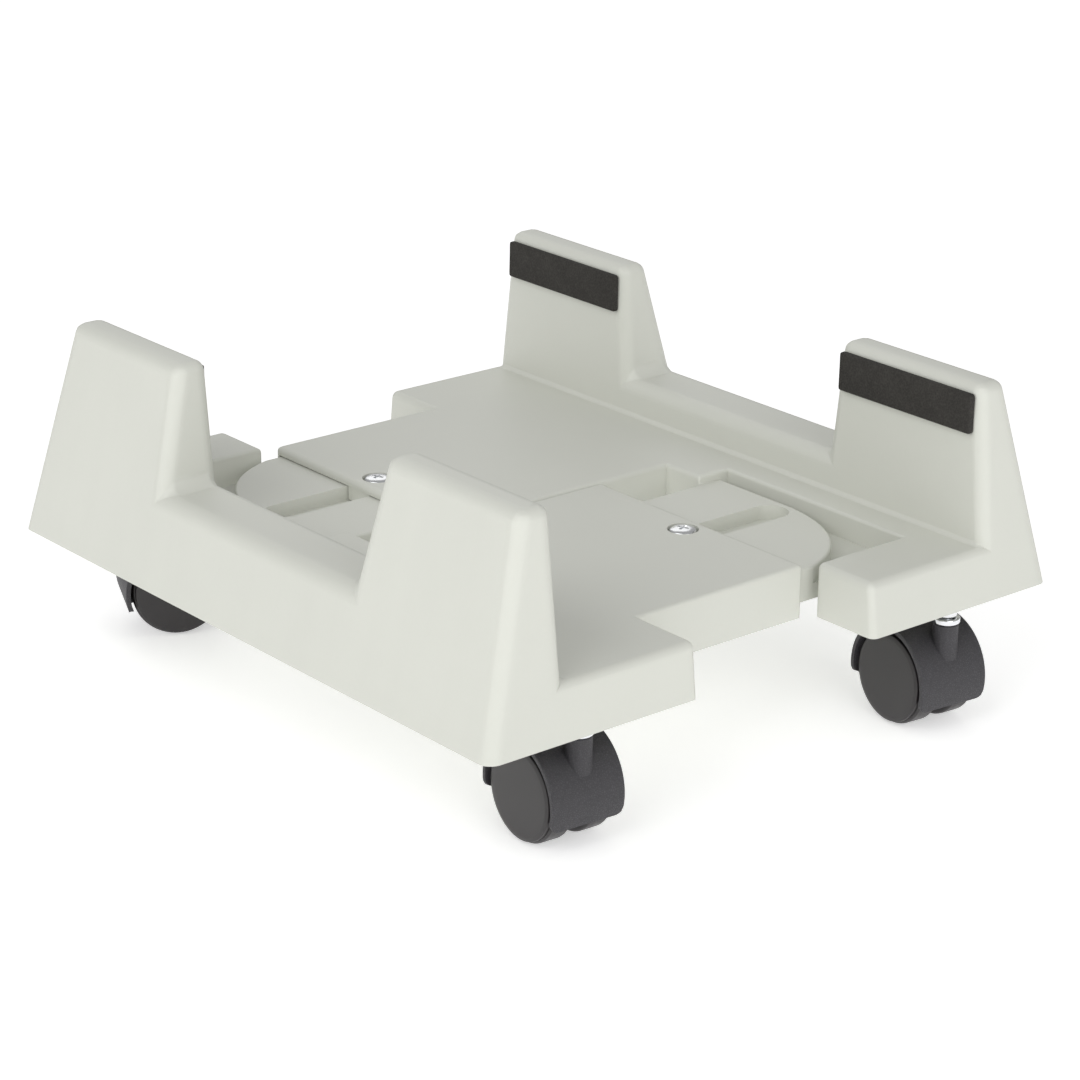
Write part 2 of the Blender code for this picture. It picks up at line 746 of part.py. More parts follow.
def build_screw(prefix, side, materials):
    """Clamp screw with its washer and nut."""
    x, y = to_stand(side, SCREW_U, SCREW_V)
    head = 16.8
    profile = [
        (0.0, 2.6),
        (1.5, 2.6),
        (SCREW_SHANK_R, 3.1),
        (SCREW_SHANK_R, head),
        (SCREW_HEAD_R, head),
        (SCREW_HEAD_R, head + 0.9),
        (3.9, head + 1.6),
        (2.4, head + 1.95),
        (0.0, head + 2.05),
    ]
    screw = turned(prefix + "_clamp_screw", profile, 24, materials["zinc"])
    for half_u, half_v in ((2.4, 0.45), (0.45, 2.4)):
        cut(screw, box("recess", (-half_u, -half_v, head + 0.9), (half_u, half_v, head + 4.0)))
    smooth(screw)
    place(screw, (x, y, SKIRT_BOTTOM), 20.0)
    washer = turned(prefix + "_clamp_washer", ring_profile(2.3, 5.2, 6.5, 7.4), 24, materials["zinc"])
    place(washer, (x, y, SKIRT_BOTTOM))
    nut = cylinder(prefix + "_clamp_nut", (0.0, 0.0), 4.05, 3.2, 6.2, 6)
    cut(nut, cylinder("thread", (0.0, 0.0), 2.3, 1.0, 8.0, 16))
    nut.data.materials.append(materials["zinc"])
    place(nut, (x, y, SKIRT_BOTTOM))


def main():
    clear_scene()
    materials = {
        "body": make_material("grey_plastic", BODY_COLOUR, 0.45, 0.0),
        "foam": make_material("foam", FOAM_COLOUR, 0.95, 0.0),
        "wheel": make_material("wheel_plastic", WHEEL_COLOUR, 0.5, 0.0),
        "hood": make_material("hood_plastic", HOOD_COLOUR, 0.6, 0.0),
        "chrome": make_material("chrome", CHROME_COLOUR, 0.15, 1.0),
        "zinc": make_material("zinc_steel", ZINC_COLOUR, 0.3, 1.0),
        "nylon": make_material("nylon", NYLON_COLOUR, 0.5, 0.0),
    }
    for word, mesh in build_section_meshes().items():
        mesh.materials.clear()
        mesh.materials.append(materials["body"])
        left = smooth(link_mesh("left_" + word, mesh), 30.0)
        left.location = (0.0, SHIFT_Y * MM, 0.0)
        right = link_mesh("right_" + word, mesh)
        right.location = (0.0, SHIFT_Y * MM, 0.0)
        right.rotation_euler = (0.0, 0.0, math.pi)

    meshes = {
        "hood": build_hood_mesh(materials["hood"]),
        "wheel": build_wheel_mesh(materials["wheel"]),
        "cap": build_cap_mesh(materials["wheel"]),
    }
    casters = (
        ("left_front_caster", "left", SEAT_LONG, -4.0),
        ("left_back_caster", "left", SEAT_SHORT, -115.0),
        ("right_front_caster", "right", SEAT_SHORT, -6.0),
        ("right_back_caster", "right", SEAT_LONG, 165.0),
    )
    for prefix, side, seat, turn in casters:
        x, y = to_stand(side, *seat)
        build_caster(prefix, x, y, turn, meshes, materials)

    build_pad("left_front_pad", "left", PAD_V[0], materials["foam"])
    build_pad("left_back_pad", "left", PAD_V[1], materials["foam"])
    build_pad("right_back_pad", "right", PAD_V[0], materials["foam"])
    build_pad("right_front_pad", "right", PAD_V[1], materials["foam"])
    build_screw("left", "left", materials)
    build_screw("right", "right", materials)


main()
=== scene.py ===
import math

import bmesh
import bpy
from bpy.props import FloatProperty, FloatVectorProperty, IntProperty, PointerProperty
from mathutils import Matrix, Vector, noise


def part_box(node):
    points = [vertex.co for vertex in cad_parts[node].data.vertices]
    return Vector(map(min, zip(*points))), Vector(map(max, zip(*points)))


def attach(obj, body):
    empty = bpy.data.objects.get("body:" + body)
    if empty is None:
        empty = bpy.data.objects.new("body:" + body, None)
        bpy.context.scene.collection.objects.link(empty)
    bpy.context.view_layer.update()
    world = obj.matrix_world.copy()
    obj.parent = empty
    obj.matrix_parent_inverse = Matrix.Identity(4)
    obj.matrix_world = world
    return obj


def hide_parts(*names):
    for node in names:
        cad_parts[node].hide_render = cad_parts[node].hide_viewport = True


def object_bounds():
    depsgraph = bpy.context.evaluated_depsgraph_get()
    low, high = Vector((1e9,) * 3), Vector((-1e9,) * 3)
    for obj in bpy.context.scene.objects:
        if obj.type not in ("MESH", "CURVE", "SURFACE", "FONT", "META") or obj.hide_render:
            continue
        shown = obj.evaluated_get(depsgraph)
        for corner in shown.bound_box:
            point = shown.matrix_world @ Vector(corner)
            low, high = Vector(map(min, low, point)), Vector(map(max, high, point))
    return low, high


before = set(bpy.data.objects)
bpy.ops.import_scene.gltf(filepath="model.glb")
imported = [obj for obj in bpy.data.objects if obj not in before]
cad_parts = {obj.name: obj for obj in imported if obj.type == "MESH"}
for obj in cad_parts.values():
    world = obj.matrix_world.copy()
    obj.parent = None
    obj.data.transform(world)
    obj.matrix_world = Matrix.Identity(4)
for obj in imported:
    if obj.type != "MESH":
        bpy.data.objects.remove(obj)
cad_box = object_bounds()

bl_info = {
    "name": "Tower stand pieces",
    "version": (1, 0, 0),
    "blender": (4, 5, 0),
    "location": "View3D > Sidebar > Tower stand",
    "description": "Builds the finished pieces of a sliding computer stand around its frame",
    "category": "Object",
}

MM = 0.001
SIDES = ("left", "right")
SECTIONS = ("rail", "deck", "tongue")
CASTERS = (
    ("left_front_caster", "left"),
    ("left_back_caster", "left"),
    ("right_front_caster", "right"),
    ("right_back_caster", "right"),
)

# Moulding: heights above its bottom edge
DEPTH = 254.0
DECK_TOP = 18.3
RAIL_TOP = 31.1
POST_TOP = 71.8
PLATEAU_TOP = 15.3
GUTTER_TOP = 9.3
TONGUE_BOTTOM = 4.0
CHANNEL_FLOOR = 10.2
GUIDE_BOTTOM = 10.6

# Moulding: leaning faces and posts
OUTER_LEAN = 0.253
END_LEAN = 0.111
INNER_FACE_LOW = 31.0
INNER_FACE_HIGH = 30.0
POST_FOOT = 75.6
POST_HEAD = 71.8

# Moulding: plan of the deck side
LONG_BLOCK_U = 82.0
SHORT_BLOCK_U = 82.4
SHORT_BLOCK_V = 227.85
DECK_U = 152.1
DECK_FRONT_V = 28.05
DECK_INNER_V = 126.7
LEDGE_U = 43.0
STOP_U = 56.3
STOP_V = 143.4
TONGUE_U = 146.0
TONGUE_FAR_V = 223.55
CHANNEL_V = 177.9
CHANNEL_WIDTH = 12.7
CHANNEL_START_U = 49.0
CHANNEL_END_U = 140.0
SLOT_WIDTH = 4.8
GUIDE_WIDTH = 11.9
GUIDE_START_U = 134.0
WALL = 2.6
SKIRT = 2.0
DECK_UNDERSIDE = DECK_TOP - WALL
FOOT_FILLET = 1.6
OVERRUN = 60.0
MOULDING_REACH = 200.0

# Moulding: roundings of single edges, and holes
POST_TOP_RADIUS = 3.6
BLOCK_RADIUS = 2.6
DECK_EDGE_RADIUS = 1.2
BLOCK_CORNER_RADIUS = 1.6
TONGUE_EDGE_RADIUS = 0.8
RIM_RADIUS = 0.3
CHANNEL_EDGE_RADIUS = 0.5
SCREW_RECESS_R = 5.3
SCREW_RECESS_FLOOR = 16.5
SCREW_HOLE_R = 2.3
SEAT_HOLE_TOP = 14.6
CLEAR_ABOVE = 22.0

# Clamp screw and caster seats, as places in the half frame
SCREW_U = 143.6
SCREW_V = DEPTH - CHANNEL_V
SEAT_LONG = (46.4, 14.1)
SEAT_SHORT = (40.5, DEPTH - 7.7)
BOSS_R = 5.6
BOSS_HOLE_R = 4.6

# Caster
WHEEL_R = 16.1
AXLE_OFFSET = 12.65
AXLE_R = 2.0
CASTER_HALF_WIDTH = 13.25
WEB_HALF = 3.1
WEB_BOTTOM = 10.5
HOOD_R = 18.65
HOOD_INNER_R = 17.0
HOOD_HALF_WIDTH = 13.5
HOOD_FRONT_END = -21.0
HOOD_BACK_END = 194.0
HOOD_CORNER = 3.0
HOOD_TOP = 37.2
HOOD_BOSS_R = 4.2
ARCH_HALF_WIDTH = 7.6
DISC_R = 15.15
DISC_PROUD = 1.9
SOCKET_LOW = 44.4
STEM_TOP = 58.0

# Foam: rows of points across a pad, and the rounding of its corners
FOAM_COLUMNS = 72
FOAM_ROWS = 24
FOAM_CORNER = 1.2

# Stage, in metres and watts; each window is a name, azimuth, elevation, distance, size and power
FLOOR_HALF_SIZE = 6.0
FLOOR_CLEARANCE = 0.0002
FLOOR_GLOW = 0.50
SKY_STRENGTH = 0.40
WINDOWS = (
    ("key_window", -80.0, 36.0, 2.2, 1.8, 20.0),
    ("front_window", -8.0, 24.0, 2.2, 1.6, 15.0),
    ("back_window", 150.0, 35.0, 2.4, 1.6, 7.0),
)


# ---------------------------------------------------------------------------
# Settings
# ---------------------------------------------------------------------------

def colour_property(name, description, colour):
    """Return a colour property with a linear default."""
    return FloatVectorProperty(
        name=name, description=description, subtype="COLOR", size=3, min=0.0, max=1.0, default=colour)


class MouldingSettings(bpy.types.PropertyGroup):
    """Sizes and finish of the two grey mouldings."""

    skin_radius: FloatProperty(
        name="Skin radius", description="Rounding of the posts and rails, in millimetres",
        default=4.6, min=0.5, max=6.0)
    deck_radius: FloatProperty(
        name="Deck radius", description="Rounding of the exposed end of the deck, in millimetres",
        default=2.3, min=0.2, max=4.0)
    segments: IntProperty(
        name="Segments", description="Facets across each rounded edge", default=6, min=2, max=12)
    colour: colour_property("Colour", "Warm grey of the moulded plastic", (0.655, 0.664, 0.606))
    roughness: FloatProperty(
        name="Roughness", description="Mean roughness of the satin plastic",
        default=0.46, min=0.05, max=1.0, subtype="FACTOR")


class PadSettings(bpy.types.PropertyGroup):
    """Sizes and finish of the foam pads."""

    edge: FloatProperty(
        name="Edge", description="Rounding of the foam's cut edge, in millimetres",
        default=0.9, min=0.1, max=1.5)
    crown: FloatProperty(
        name="Crown", description="How far the middle of the foam swells, in millimetres",
        default=0.22, min=0.0, max=1.0)
    colour: colour_property("Colour", "Near-black of the foam", (0.035, 0.033, 0.030))


class CasterSettings(bpy.types.PropertyGroup):
    """Finish of the casters."""

    segments: IntProperty(
        name="Segments", description="Facets round each turned piece", default=72, min=24, max=128)
    grain: FloatProperty(
        name="Grain", description="Size of the leather grain on the hoods",
        default=0.00075, min=0.0002, max=0.003, unit="LENGTH", precision=5)
    hood_colour: colour_property("Hood colour", "Dark grey of the hoods", (0.045, 0.043, 0.048))
    wheel_colour: colour_property("Wheel colour", "Dark grey of the wheels", (0.024, 0.021, 0.022))


class SteelSettings(bpy.types.PropertyGroup):
    """Finish of screws, stems, collars and bushes."""

    turn: FloatProperty(
        name="Screw turn", description="Angle at which the recess of the clamp screws stands",
        default=math.radians(20.0), subtype="ANGLE", unit="ROTATION")
    zinc: colour_property("Zinc", "Plated steel of the screws and stems", (0.78, 0.79, 0.80))
    chrome: colour_property("Chrome", "Bright plating of the collars", (0.82, 0.83, 0.85))
    nylon: colour_property("Nylon", "Natural white of the stem bushes", (0.62, 0.62, 0.57))


class StageSettings(bpy.types.PropertyGroup):
    """Floor, light and camera."""

    azimuth: FloatProperty(
        name="Azimuth", description="Direction that the camera looks from, about the vertical",
        default=math.radians(-39.97), subtype="ANGLE", unit="ROTATION")
    elevation: FloatProperty(
        name="Elevation", description="Height angle of the camera above the floor",
        default=math.radians(20.66), subtype="ANGLE", unit="ROTATION")
    roll: FloatProperty(
        name="Roll", description="Turn of the camera about its own axis",
        default=math.radians(0.611), subtype="ANGLE", unit="ROTATION")
    distance: FloatProperty(
        name="Distance", description="Distance from the camera to the point it looks at",
        default=1.0915, min=0.3, unit="LENGTH", subtype="DISTANCE")
    aim: FloatVectorProperty(
        name="Aim", description="Point looked at, from the middle of the stand",
        default=(0.0030, -0.0068, -0.0087), size=3, unit="LENGTH", subtype="TRANSLATION")
    lens: FloatProperty(
        name="Lens", description="Focal length of the camera, in millimetres", default=108.15, min=10.0)
    floor: colour_property("Floor", "Pale floor", (0.93, 0.93, 0.93))


class StandSettings(bpy.types.PropertyGroup):
    """All settings of the stand."""

    moulding: PointerProperty(name="Moulding", description="Grey mouldings", type=MouldingSettings)
    pad: PointerProperty(name="Pads", description="Foam pads", type=PadSettings)
    caster: PointerProperty(name="Casters", description="Hoods and wheels", type=CasterSettings)
    steel: PointerProperty(name="Steel", description="Screws, stems and bushes", type=SteelSettings)
    stage: PointerProperty(name="Stage", description="Floor, light and camera", type=StageSettings)


# ---------------------------------------------------------------------------
# Shader sums
# ---------------------------------------------------------------------------

class Wire:
    """One socket of a shader, used in sums as if it were a number."""

    def __init__(self, paint, socket):
        self.paint = paint
        self.socket = socket

    def sum_with(self, operation, first, second):
        return self.paint.node("ShaderNodeMath", {"operation": operation}, {0: first, 1: second})

    def __add__(self, other):
        return self.sum_with("ADD", self, other)

    def __radd__(self, other):
        return self.sum_with("ADD", other, self)

    def __sub__(self, other):
        return self.sum_with("SUBTRACT", self, other)

    def __rsub__(self, other):
        return self.sum_with("SUBTRACT", other, self)

    def __mul__(self, other):
        return self.sum_with("MULTIPLY", self, other)

    def __rmul__(self, other):
        return self.sum_with("MULTIPLY", other, self)

    def clamped(self):
        return self.paint.node("ShaderNodeClamp", {}, {0: self, 1: 0.0, 2: 1.0})


class Paint:
    """A Principled material under construction."""

    def __init__(self, name):
        self.material = bpy.data.materials.new(name)
        self.material.use_nodes = True
        self.tree = self.material.node_tree
        self.shader = self.tree.nodes["Principled BSDF"]

    def node(self, kind, settings, values, output=0):
        """Add a node: its settings first, then the values or links of its sockets."""
        node = self.tree.nodes.new(kind)
        for key, setting in settings.items():
            if key == "stops":
                ramp = node.color_ramp
                for element, (position, level) in zip(ramp.elements, setting):
                    element.position = position
                    element.color = (level, level, level, 1.0)
            else:
                setattr(node, key, setting)
        for key, value in values.items():
            if isinstance(value, Wire):
                self.tree.links.new(value.socket, node.inputs[key])
            else:
                node.inputs[key].default_value = value
        return Wire(self, node.outputs[output])

    def place(self):
        """Position in the piece's own space, in metres."""
        return self.node("ShaderNodeTexCoord", {}, {}, "Object")

    def facing(self, axis):
        """How far the surface faces along one axis of the piece."""
        normal = self.node("ShaderNodeTexCoord", {}, {}, "Normal")
        return self.node("ShaderNodeSeparateXYZ", {}, {0: normal}, axis)

    def stretch(self, place, factors):
        """Position scaled by a factor along each axis."""
        return self.node("ShaderNodeVectorMath", {"operation": "MULTIPLY"}, {0: place, 1: factors})

    def cloud(self, place, scale, detail=2.0, roughness=0.5):
        """Soft noise between 0 and 1, with blotches of about 1/scale metres."""
        values = {"Vector": place, "Scale": scale, "Detail": detail, "Roughness": roughness}
        return self.node("ShaderNodeTexNoise", {}, values, "Fac")

    def cells(self, place, scale, feature="F1"):
        """Distance to the nearest cell centre or edge."""
        values = {"Vector": place, "Scale": scale}
        return self.node("ShaderNodeTexVoronoi", {"feature": feature}, values, "Distance")

    def ramp(self, value, low, high):
        """0 below one level of a value, 1 above another."""
        return self.node("ShaderNodeValToRGB", {"stops": ((low, 0.0), (high, 1.0))}, {0: value})

    def blend(self, mask, first, second):
        """Colour that goes from the first to the second as the mask rises."""
        values = {0: mask, 6: as_colour(first), 7: as_colour(second)}
        return self.node("ShaderNodeMix", {"data_type": "RGBA"}, values, 2)

    def bump(self, height, strength, depth):
        """Surface relief from a height."""
        values = {"Height": height, "Strength": strength, "Distance": depth}
        return self.node("ShaderNodeBump", {}, values, "Normal")

    def finish(self, **sockets):
        """Link or set sockets of the shader, and return the material."""
        for key, value in sockets.items():
            socket = self.shader.inputs[key.replace("_", " ")]
            if isinstance(value, Wire):
                self.tree.links.new(value.socket, socket)
            else:
                socket.default_value = value
        return self.material


def as_colour(value):
    """A colour of three numbers as four; a socket stays as it is."""
    if isinstance(value, Wire) or len(value) == 4:
        return value
    return (*value, 1.0)


def shade(colour, factor):
    """A colour made lighter or darker."""
    return tuple(min(1.0, channel * factor) for channel in colour)


def material_once(name, make):
    """Return a material by name, made on first use."""
    return bpy.data.materials.get(name) or make(Paint(name))


# ---------------------------------------------------------------------------
# Finishes
# ---------------------------------------------------------------------------

def satin_plastic(paint):
    """Moulded warm grey: fine spark-eroded texture, faint blotches and flow streaks."""
    settings = bpy.context.scene.tower_stand.moulding
    place = paint.place()
    blotches = paint.cloud(place, 22.0, 3.0)
    speckle = paint.cloud(place, 900.0, 2.0)
    streaks = paint.cloud(paint.stretch(place, (1.0, 90.0, 7.0)), 1.0, 2.0)
    outer_face = paint.ramp(paint.facing(0) * -1.0, 0.55, 0.85)
    flow = (streaks - 0.5) * outer_face
    tone = (blotches * 0.55 + speckle * 0.2 + flow * 0.3 + 0.12).clamped()
    colour = paint.blend(tone, shade(settings.colour, 0.955), shade(settings.colour, 1.045))
    texture = paint.cloud(place, 2600.0, 3.0, 0.6)
    sink = paint.cloud(place, 60.0, 1.0)
    relief = texture * 0.6 + sink * 1.4
    return paint.finish(
        Base_Color=colour,
        Roughness=(blotches - 0.5) * 0.10 + (texture - 0.5) * 0.08 + settings.roughness,
        Normal=paint.bump(relief, 0.16, 0.00010),
        IOR=1.46,
        Specular_IOR_Level=0.42,
    )


def cut_foam(paint):
    """Closed-cell foam with a cut face: fine pores, matt, and a trace of dust."""
    settings = bpy.context.scene.tower_stand.pad
    place = paint.place()
    pores = paint.cells(place, 1500.0)
    fine = paint.cloud(place, 3800.0, 3.0, 0.7)
    dust = paint.ramp(paint.cloud(place, 90.0, 4.0, 0.6), 0.45, 0.75)
    tone = (pores * 0.7 + fine * 0.3 + dust * 0.25).clamped()
    colour = paint.blend(tone, shade(settings.colour, 0.62), shade(settings.colour, 1.65))
    return paint.finish(
        Base_Color=colour,
        Roughness=0.90 + (fine - 0.5) * 0.12,
        Normal=paint.bump(pores * 0.8 + fine * 0.5, 0.75, 0.00022),
        Specular_IOR_Level=0.25,
    )


def leather_grain(paint):
    """Dark plastic of the hoods with a moulded leather grain."""
    settings = bpy.context.scene.tower_stand.caster
    place = paint.place()
    drift = paint.node("ShaderNodeTexNoise", {}, {"Vector": place, "Scale": 700.0}, "Color")
    half_grain = settings.grain * 0.5
    wander = paint.node("ShaderNodeVectorMath", {"operation": "SCALE"}, {0: drift, "Scale": half_grain})
    bent = paint.node("ShaderNodeVectorMath", {"operation": "ADD"}, {0: place, 1: wander})
    valleys = paint.cells(bent, 1.0 / settings.grain, "DISTANCE_TO_EDGE")
    hills = paint.ramp(valleys, 0.02, 0.32)
    fine = paint.cloud(place, 3000.0, 2.0)
    wear = paint.cloud(place, 120.0, 3.0)
    tone = (hills * 0.55 + wear * 0.35 + fine * 0.1).clamped()
    colour = paint.blend(tone, shade(settings.hood_colour, 0.72), shade(settings.hood_colour, 1.28))
    return paint.finish(
        Base_Color=colour,
        Roughness=0.50 + (1.0 - hills) * 0.12 + (wear - 0.5) * 0.10,
        Normal=paint.bump(hills + fine * 0.25, 0.55, 0.00009),
        Specular_IOR_Level=0.5,
    )


def wheel_plastic(paint):
    """Dark satin plastic of wheels and caps: faint rings on the face, scuffs on the tread."""
    settings = bpy.context.scene.tower_stand.caster
    place = paint.place()
    across = paint.stretch(place, (0.0, 1.0, 1.0))
    radius = paint.node("ShaderNodeVectorMath", {"operation": "LENGTH"}, {0: across}, "Value")
    rings = paint.node("ShaderNodeTexNoise", {"noise_dimensions": "1D"},
                       {"W": radius, "Scale": 5200.0, "Detail": 2.0}, "Fac")
    tread = paint.ramp(radius * (0.9 / (WHEEL_R * MM)), 0.875, 0.895)
    scuffs = paint.ramp(paint.cloud(place, 420.0, 4.0, 0.7), 0.42, 0.70)
    dusty = tread * scuffs
    fine = paint.cloud(place, 1800.0, 2.0)
    tone = (fine * 0.3 + rings * 0.2 + dusty * 0.45 + 0.1).clamped()
    colour = paint.blend(tone, shade(settings.wheel_colour, 0.80), shade(settings.wheel_colour, 1.45))
    return paint.finish(
        Base_Color=colour,
        Roughness=0.36 + dusty * 0.22 + (fine - 0.5) * 0.08,
        Normal=paint.bump(rings * 0.5 + fine * 0.3 + dusty * 0.6, 0.20, 0.00006),
        Specular_IOR_Level=0.5,
    )


def plated_steel(paint):
    """Zinc-plated steel: cool and warm patches and fine turning marks."""
    settings = bpy.context.scene.tower_stand.steel
    place = paint.place()
    patches = paint.cloud(place, 260.0, 3.0)
    marks = paint.cloud(paint.stretch(place, (0.25, 0.25, 1.0)), 5200.0, 2.0)
    colour = paint.blend(patches, shade(settings.zinc, 0.90), shade(settings.zinc, 1.06))
    return paint.finish(
        Base_Color=colour,
        Metallic=1.0,
        Roughness=0.24 + (patches - 0.5) * 0.12 + (marks - 0.5) * 0.10,
        Normal=paint.bump(marks, 0.12, 0.00004),
    )


def bright_chrome(paint):
    """Chrome plating with a trace of haze."""
    settings = bpy.context.scene.tower_stand.steel
    place = paint.place()
    haze = paint.cloud(place, 500.0, 4.0, 0.6)
    colour = paint.blend(haze, shade(settings.chrome, 0.94), settings.chrome)
    return paint.finish(
        Base_Color=colour,
        Metallic=1.0,
        Roughness=0.07 + haze * 0.09,
        Normal=paint.bump(haze, 0.04, 0.00004),
    )


def natural_nylon(paint):
    """Slightly translucent white nylon."""
    settings = bpy.context.scene.tower_stand.steel
    place = paint.place()
    milk = paint.cloud(place, 300.0, 3.0)
    colour = paint.blend(milk, shade(settings.nylon, 0.92), shade(settings.nylon, 1.06))
    return paint.finish(
        Base_Color=colour,
        Roughness=0.42 + (milk - 0.5) * 0.12,
        Normal=paint.bump(milk, 0.10, 0.00005),
        Subsurface_Weight=0.08,
    )


def pale_floor(paint):
    """Matt pale floor that lifts its own tone a little, like a lit studio sheet."""
    settings = bpy.context.scene.tower_stand.stage
    place = paint.place()
    mottle = paint.cloud(place, 6.0, 3.0)
    colour = paint.blend(mottle, shade(settings.floor, 0.99), settings.floor)
    return paint.finish(
        Base_Color=colour,
        Roughness=0.85,
        Specular_IOR_Level=0.1,
        Emission_Color=colour,
        Emission_Strength=FLOOR_GLOW,
    )


# ---------------------------------------------------------------------------
# Mesh tools, in millimetres
# ---------------------------------------------------------------------------

def link_mesh(name, mesh, material=None):
    """Make an object from a mesh and put it in the scene."""
    obj = bpy.data.objects.new(name, mesh)
    bpy.context.scene.collection.objects.link(obj)
    if material is not None:
        mesh.materials.clear()
        mesh.materials.append(material)
    return obj


def mesh_from(name, bm):
    """Turn a bmesh into a mesh with its faces pointing out."""
    bmesh.ops.recalc_face_normals(bm, faces=bm.faces[:])
    mesh = bpy.data.meshes.new(name)
    bm.to_mesh(mesh)
    bm.free()
    return mesh


def take_mesh(obj, name):
    """Remove an object and keep its mesh under a name."""
    mesh = obj.data
    bpy.data.objects.remove(obj, do_unlink=True)
    mesh.name = name
    return mesh


def loft(low, high):
    """Closed solid between two outlines with the same number of points."""
    bm = bmesh.new()
    bottom = [bm.verts.new(Vector(p) * MM) for p in low]
    top = [bm.verts.new(Vector(p) * MM) for p in high]
    bm.faces.new(list(reversed(bottom)))
    bm.faces.new(top)
    count = len(bottom)
    for i in range(count):
        j = (i + 1) % count
        bm.faces.new((bottom[i], bottom[j], top[j], top[i]))
    return link_mesh("solid", mesh_from("solid", bm))


def slab(outline, low, high):
    """Upright prism over a plan outline of (u, v) points, between two heights."""
    return loft([(u, v, low) for u, v in outline], [(u, v, high) for u, v in outline])


def box(low, high):
    """Axis-aligned box between two corners."""
    outline = [(low[0], low[1]), (high[0], low[1]), (high[0], high[1]), (low[0], high[1])]
    return slab(outline, low[2], high[2])


def circle(radius, segments, centre=(0.0, 0.0)):
    """Points of a circle."""
    points = []
    for i in range(segments):
        angle = 2 * math.pi * i / segments
        points.append((centre[0] + radius * math.cos(angle), centre[1] + radius * math.sin(angle)))
    return points


def cylinder(centre, radius, low, high, segments=48):
    """Upright cylinder over a plan centre."""
    return slab(circle(radius, segments, centre), low, high)


def x_cylinder(y, z, radius, low, high, segments=96):
    """Cylinder along X between two x positions."""
    ring = circle(radius, segments, (y, z))
    return loft([(low, a, b) for a, b in ring], [(high, a, b) for a, b in ring])


def bake(obj):
    """Replace an object's mesh by its evaluated mesh and drop its modifiers."""
    graph = bpy.context.evaluated_depsgraph_get()
    mesh = bpy.data.meshes.new_from_object(obj.evaluated_get(graph))
    obj.modifiers.clear()
    obj.data = mesh
    return obj


def combine(target, operation, *tools):
    """Boolean some tools into a target, one after another, and remove them."""
    for tool in tools:
        modifier = target.modifiers.new("combine", "BOOLEAN")
        modifier.operation = operation
        modifier.solver = "EXACT"
        modifier.object = tool
        bake(target)
        bpy.data.objects.remove(tool, do_unlink=True)
    return target


def join(target, *tools):
    """Union several solids into one."""
    return combine(target, "UNION", *tools)


def cut(target, *tools):
    """Take several solids out of one."""
    return combine(target, "DIFFERENCE", *tools)


def clean(obj, angle=0.5):
    """Merge doubled points and faces that lie in one plane."""
    bm = bmesh.new()
    bm.from_mesh(obj.data)
    bmesh.ops.remove_doubles(bm, verts=bm.verts[:], dist=0.02 * MM)
    bmesh.ops.dissolve_limit(bm, angle_limit=math.radians(angle), verts=bm.verts[:], edges=bm.edges[:])
    bm.to_mesh(obj.data)
    bm.free()
    return obj


def weighted_bevel(obj, radius_of, widest, segments, clamp=True):
    """Round edges with one bevel; radius_of gives each edge's rounding in millimetres."""
    bm = bmesh.new()
    bm.from_mesh(obj.data)
    layer = bm.edges.layers.float.new("bevel_weight_edge")
    for edge in bm.edges:
        if len(edge.link_faces) != 2 or edge.calc_face_angle(0.0) < math.radians(12):
            continue
        a, b = (vert.co / MM for vert in edge.verts)
        edge[layer] = min(1.0, radius_of(a, b) / widest)
    bm.to_mesh(obj.data)
    bm.free()
    modifier = obj.modifiers.new("round", "BEVEL")
    modifier.limit_method = "WEIGHT"
    modifier.width = widest * MM
    modifier.segments = segments
    modifier.use_clamp_overlap = clamp
    return bake(obj)


def soften(obj, angle=35.0):
    """Shade smooth with sharp edges kept, large flat faces leading the shading."""
    obj.data.shade_smooth()
    obj.data.set_sharp_from_angle(angle=math.radians(angle))
    modifier = obj.modifiers.new("shading", "WEIGHTED_NORMAL")
    modifier.keep_sharp = True
    modifier.weight = 60
    return bake(obj)


def arc(centre, radius, start, finish, steps):
    """Points of an arc between two angles in degrees."""
    points = []
    for i in range(steps + 1):
        angle = math.radians(start + (finish - start) * i / steps)
        points.append((centre[0] + radius * math.cos(angle), centre[1] + radius * math.sin(angle)))
    return points


def turned(profile, segments, axis="Z"):
    """Mesh of revolution from a closed (radius, height) profile around Z or X."""
    bm = bmesh.new()
    rings = []
    for i in range(segments):
        angle = 2 * math.pi * i / segments
        c, s = math.cos(angle), math.sin(angle)
        ring = []
        for r, height in profile:
            point = (r * c, r * s, height) if axis == "Z" else (height, r * c, r * s)
            ring.append(bm.verts.new(Vector(point) * MM))
        rings.append(ring)
    count = len(profile)
    for i in range(segments):
        here, after = rings[i], rings[(i + 1) % segments]
        for k in range(count):
            m = (k + 1) % count
            if profile[k][0] or profile[m][0]:
                bm.faces.new((here[k], after[k], after[m], here[m]))
    bmesh.ops.remove_doubles(bm, verts=bm.verts[:], dist=0.002 * MM)
    return link_mesh("turned", mesh_from("turned", bm))


def ring_profile(inner, outer, low, high, edge=0.0):
    """Closed profile of a ring; with an edge radius, its corners are rounded."""
    if not edge:
        return [(inner, low), (outer, low), (outer, high), (inner, high)]
    points = arc((outer - edge, low + edge), edge, -90.0, 0.0, 4)
    points += arc((outer - edge, high - edge), edge, 0.0, 90.0, 4)
    small = edge / 2
    points += arc((inner + small, high - small), small, 90.0, 180.0, 3)
    points += arc((inner + small, low + small), small, 180.0, 270.0, 3)
    return points


def finish_piece(obj, name, body, nodes, material):
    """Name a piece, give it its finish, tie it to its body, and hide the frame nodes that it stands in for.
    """
    obj.name = name
    obj.data.name = name
    if material is not None:
        obj.data.materials.clear()
        obj.data.materials.append(material)
    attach(obj, body)
    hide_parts(*nodes)
    return obj


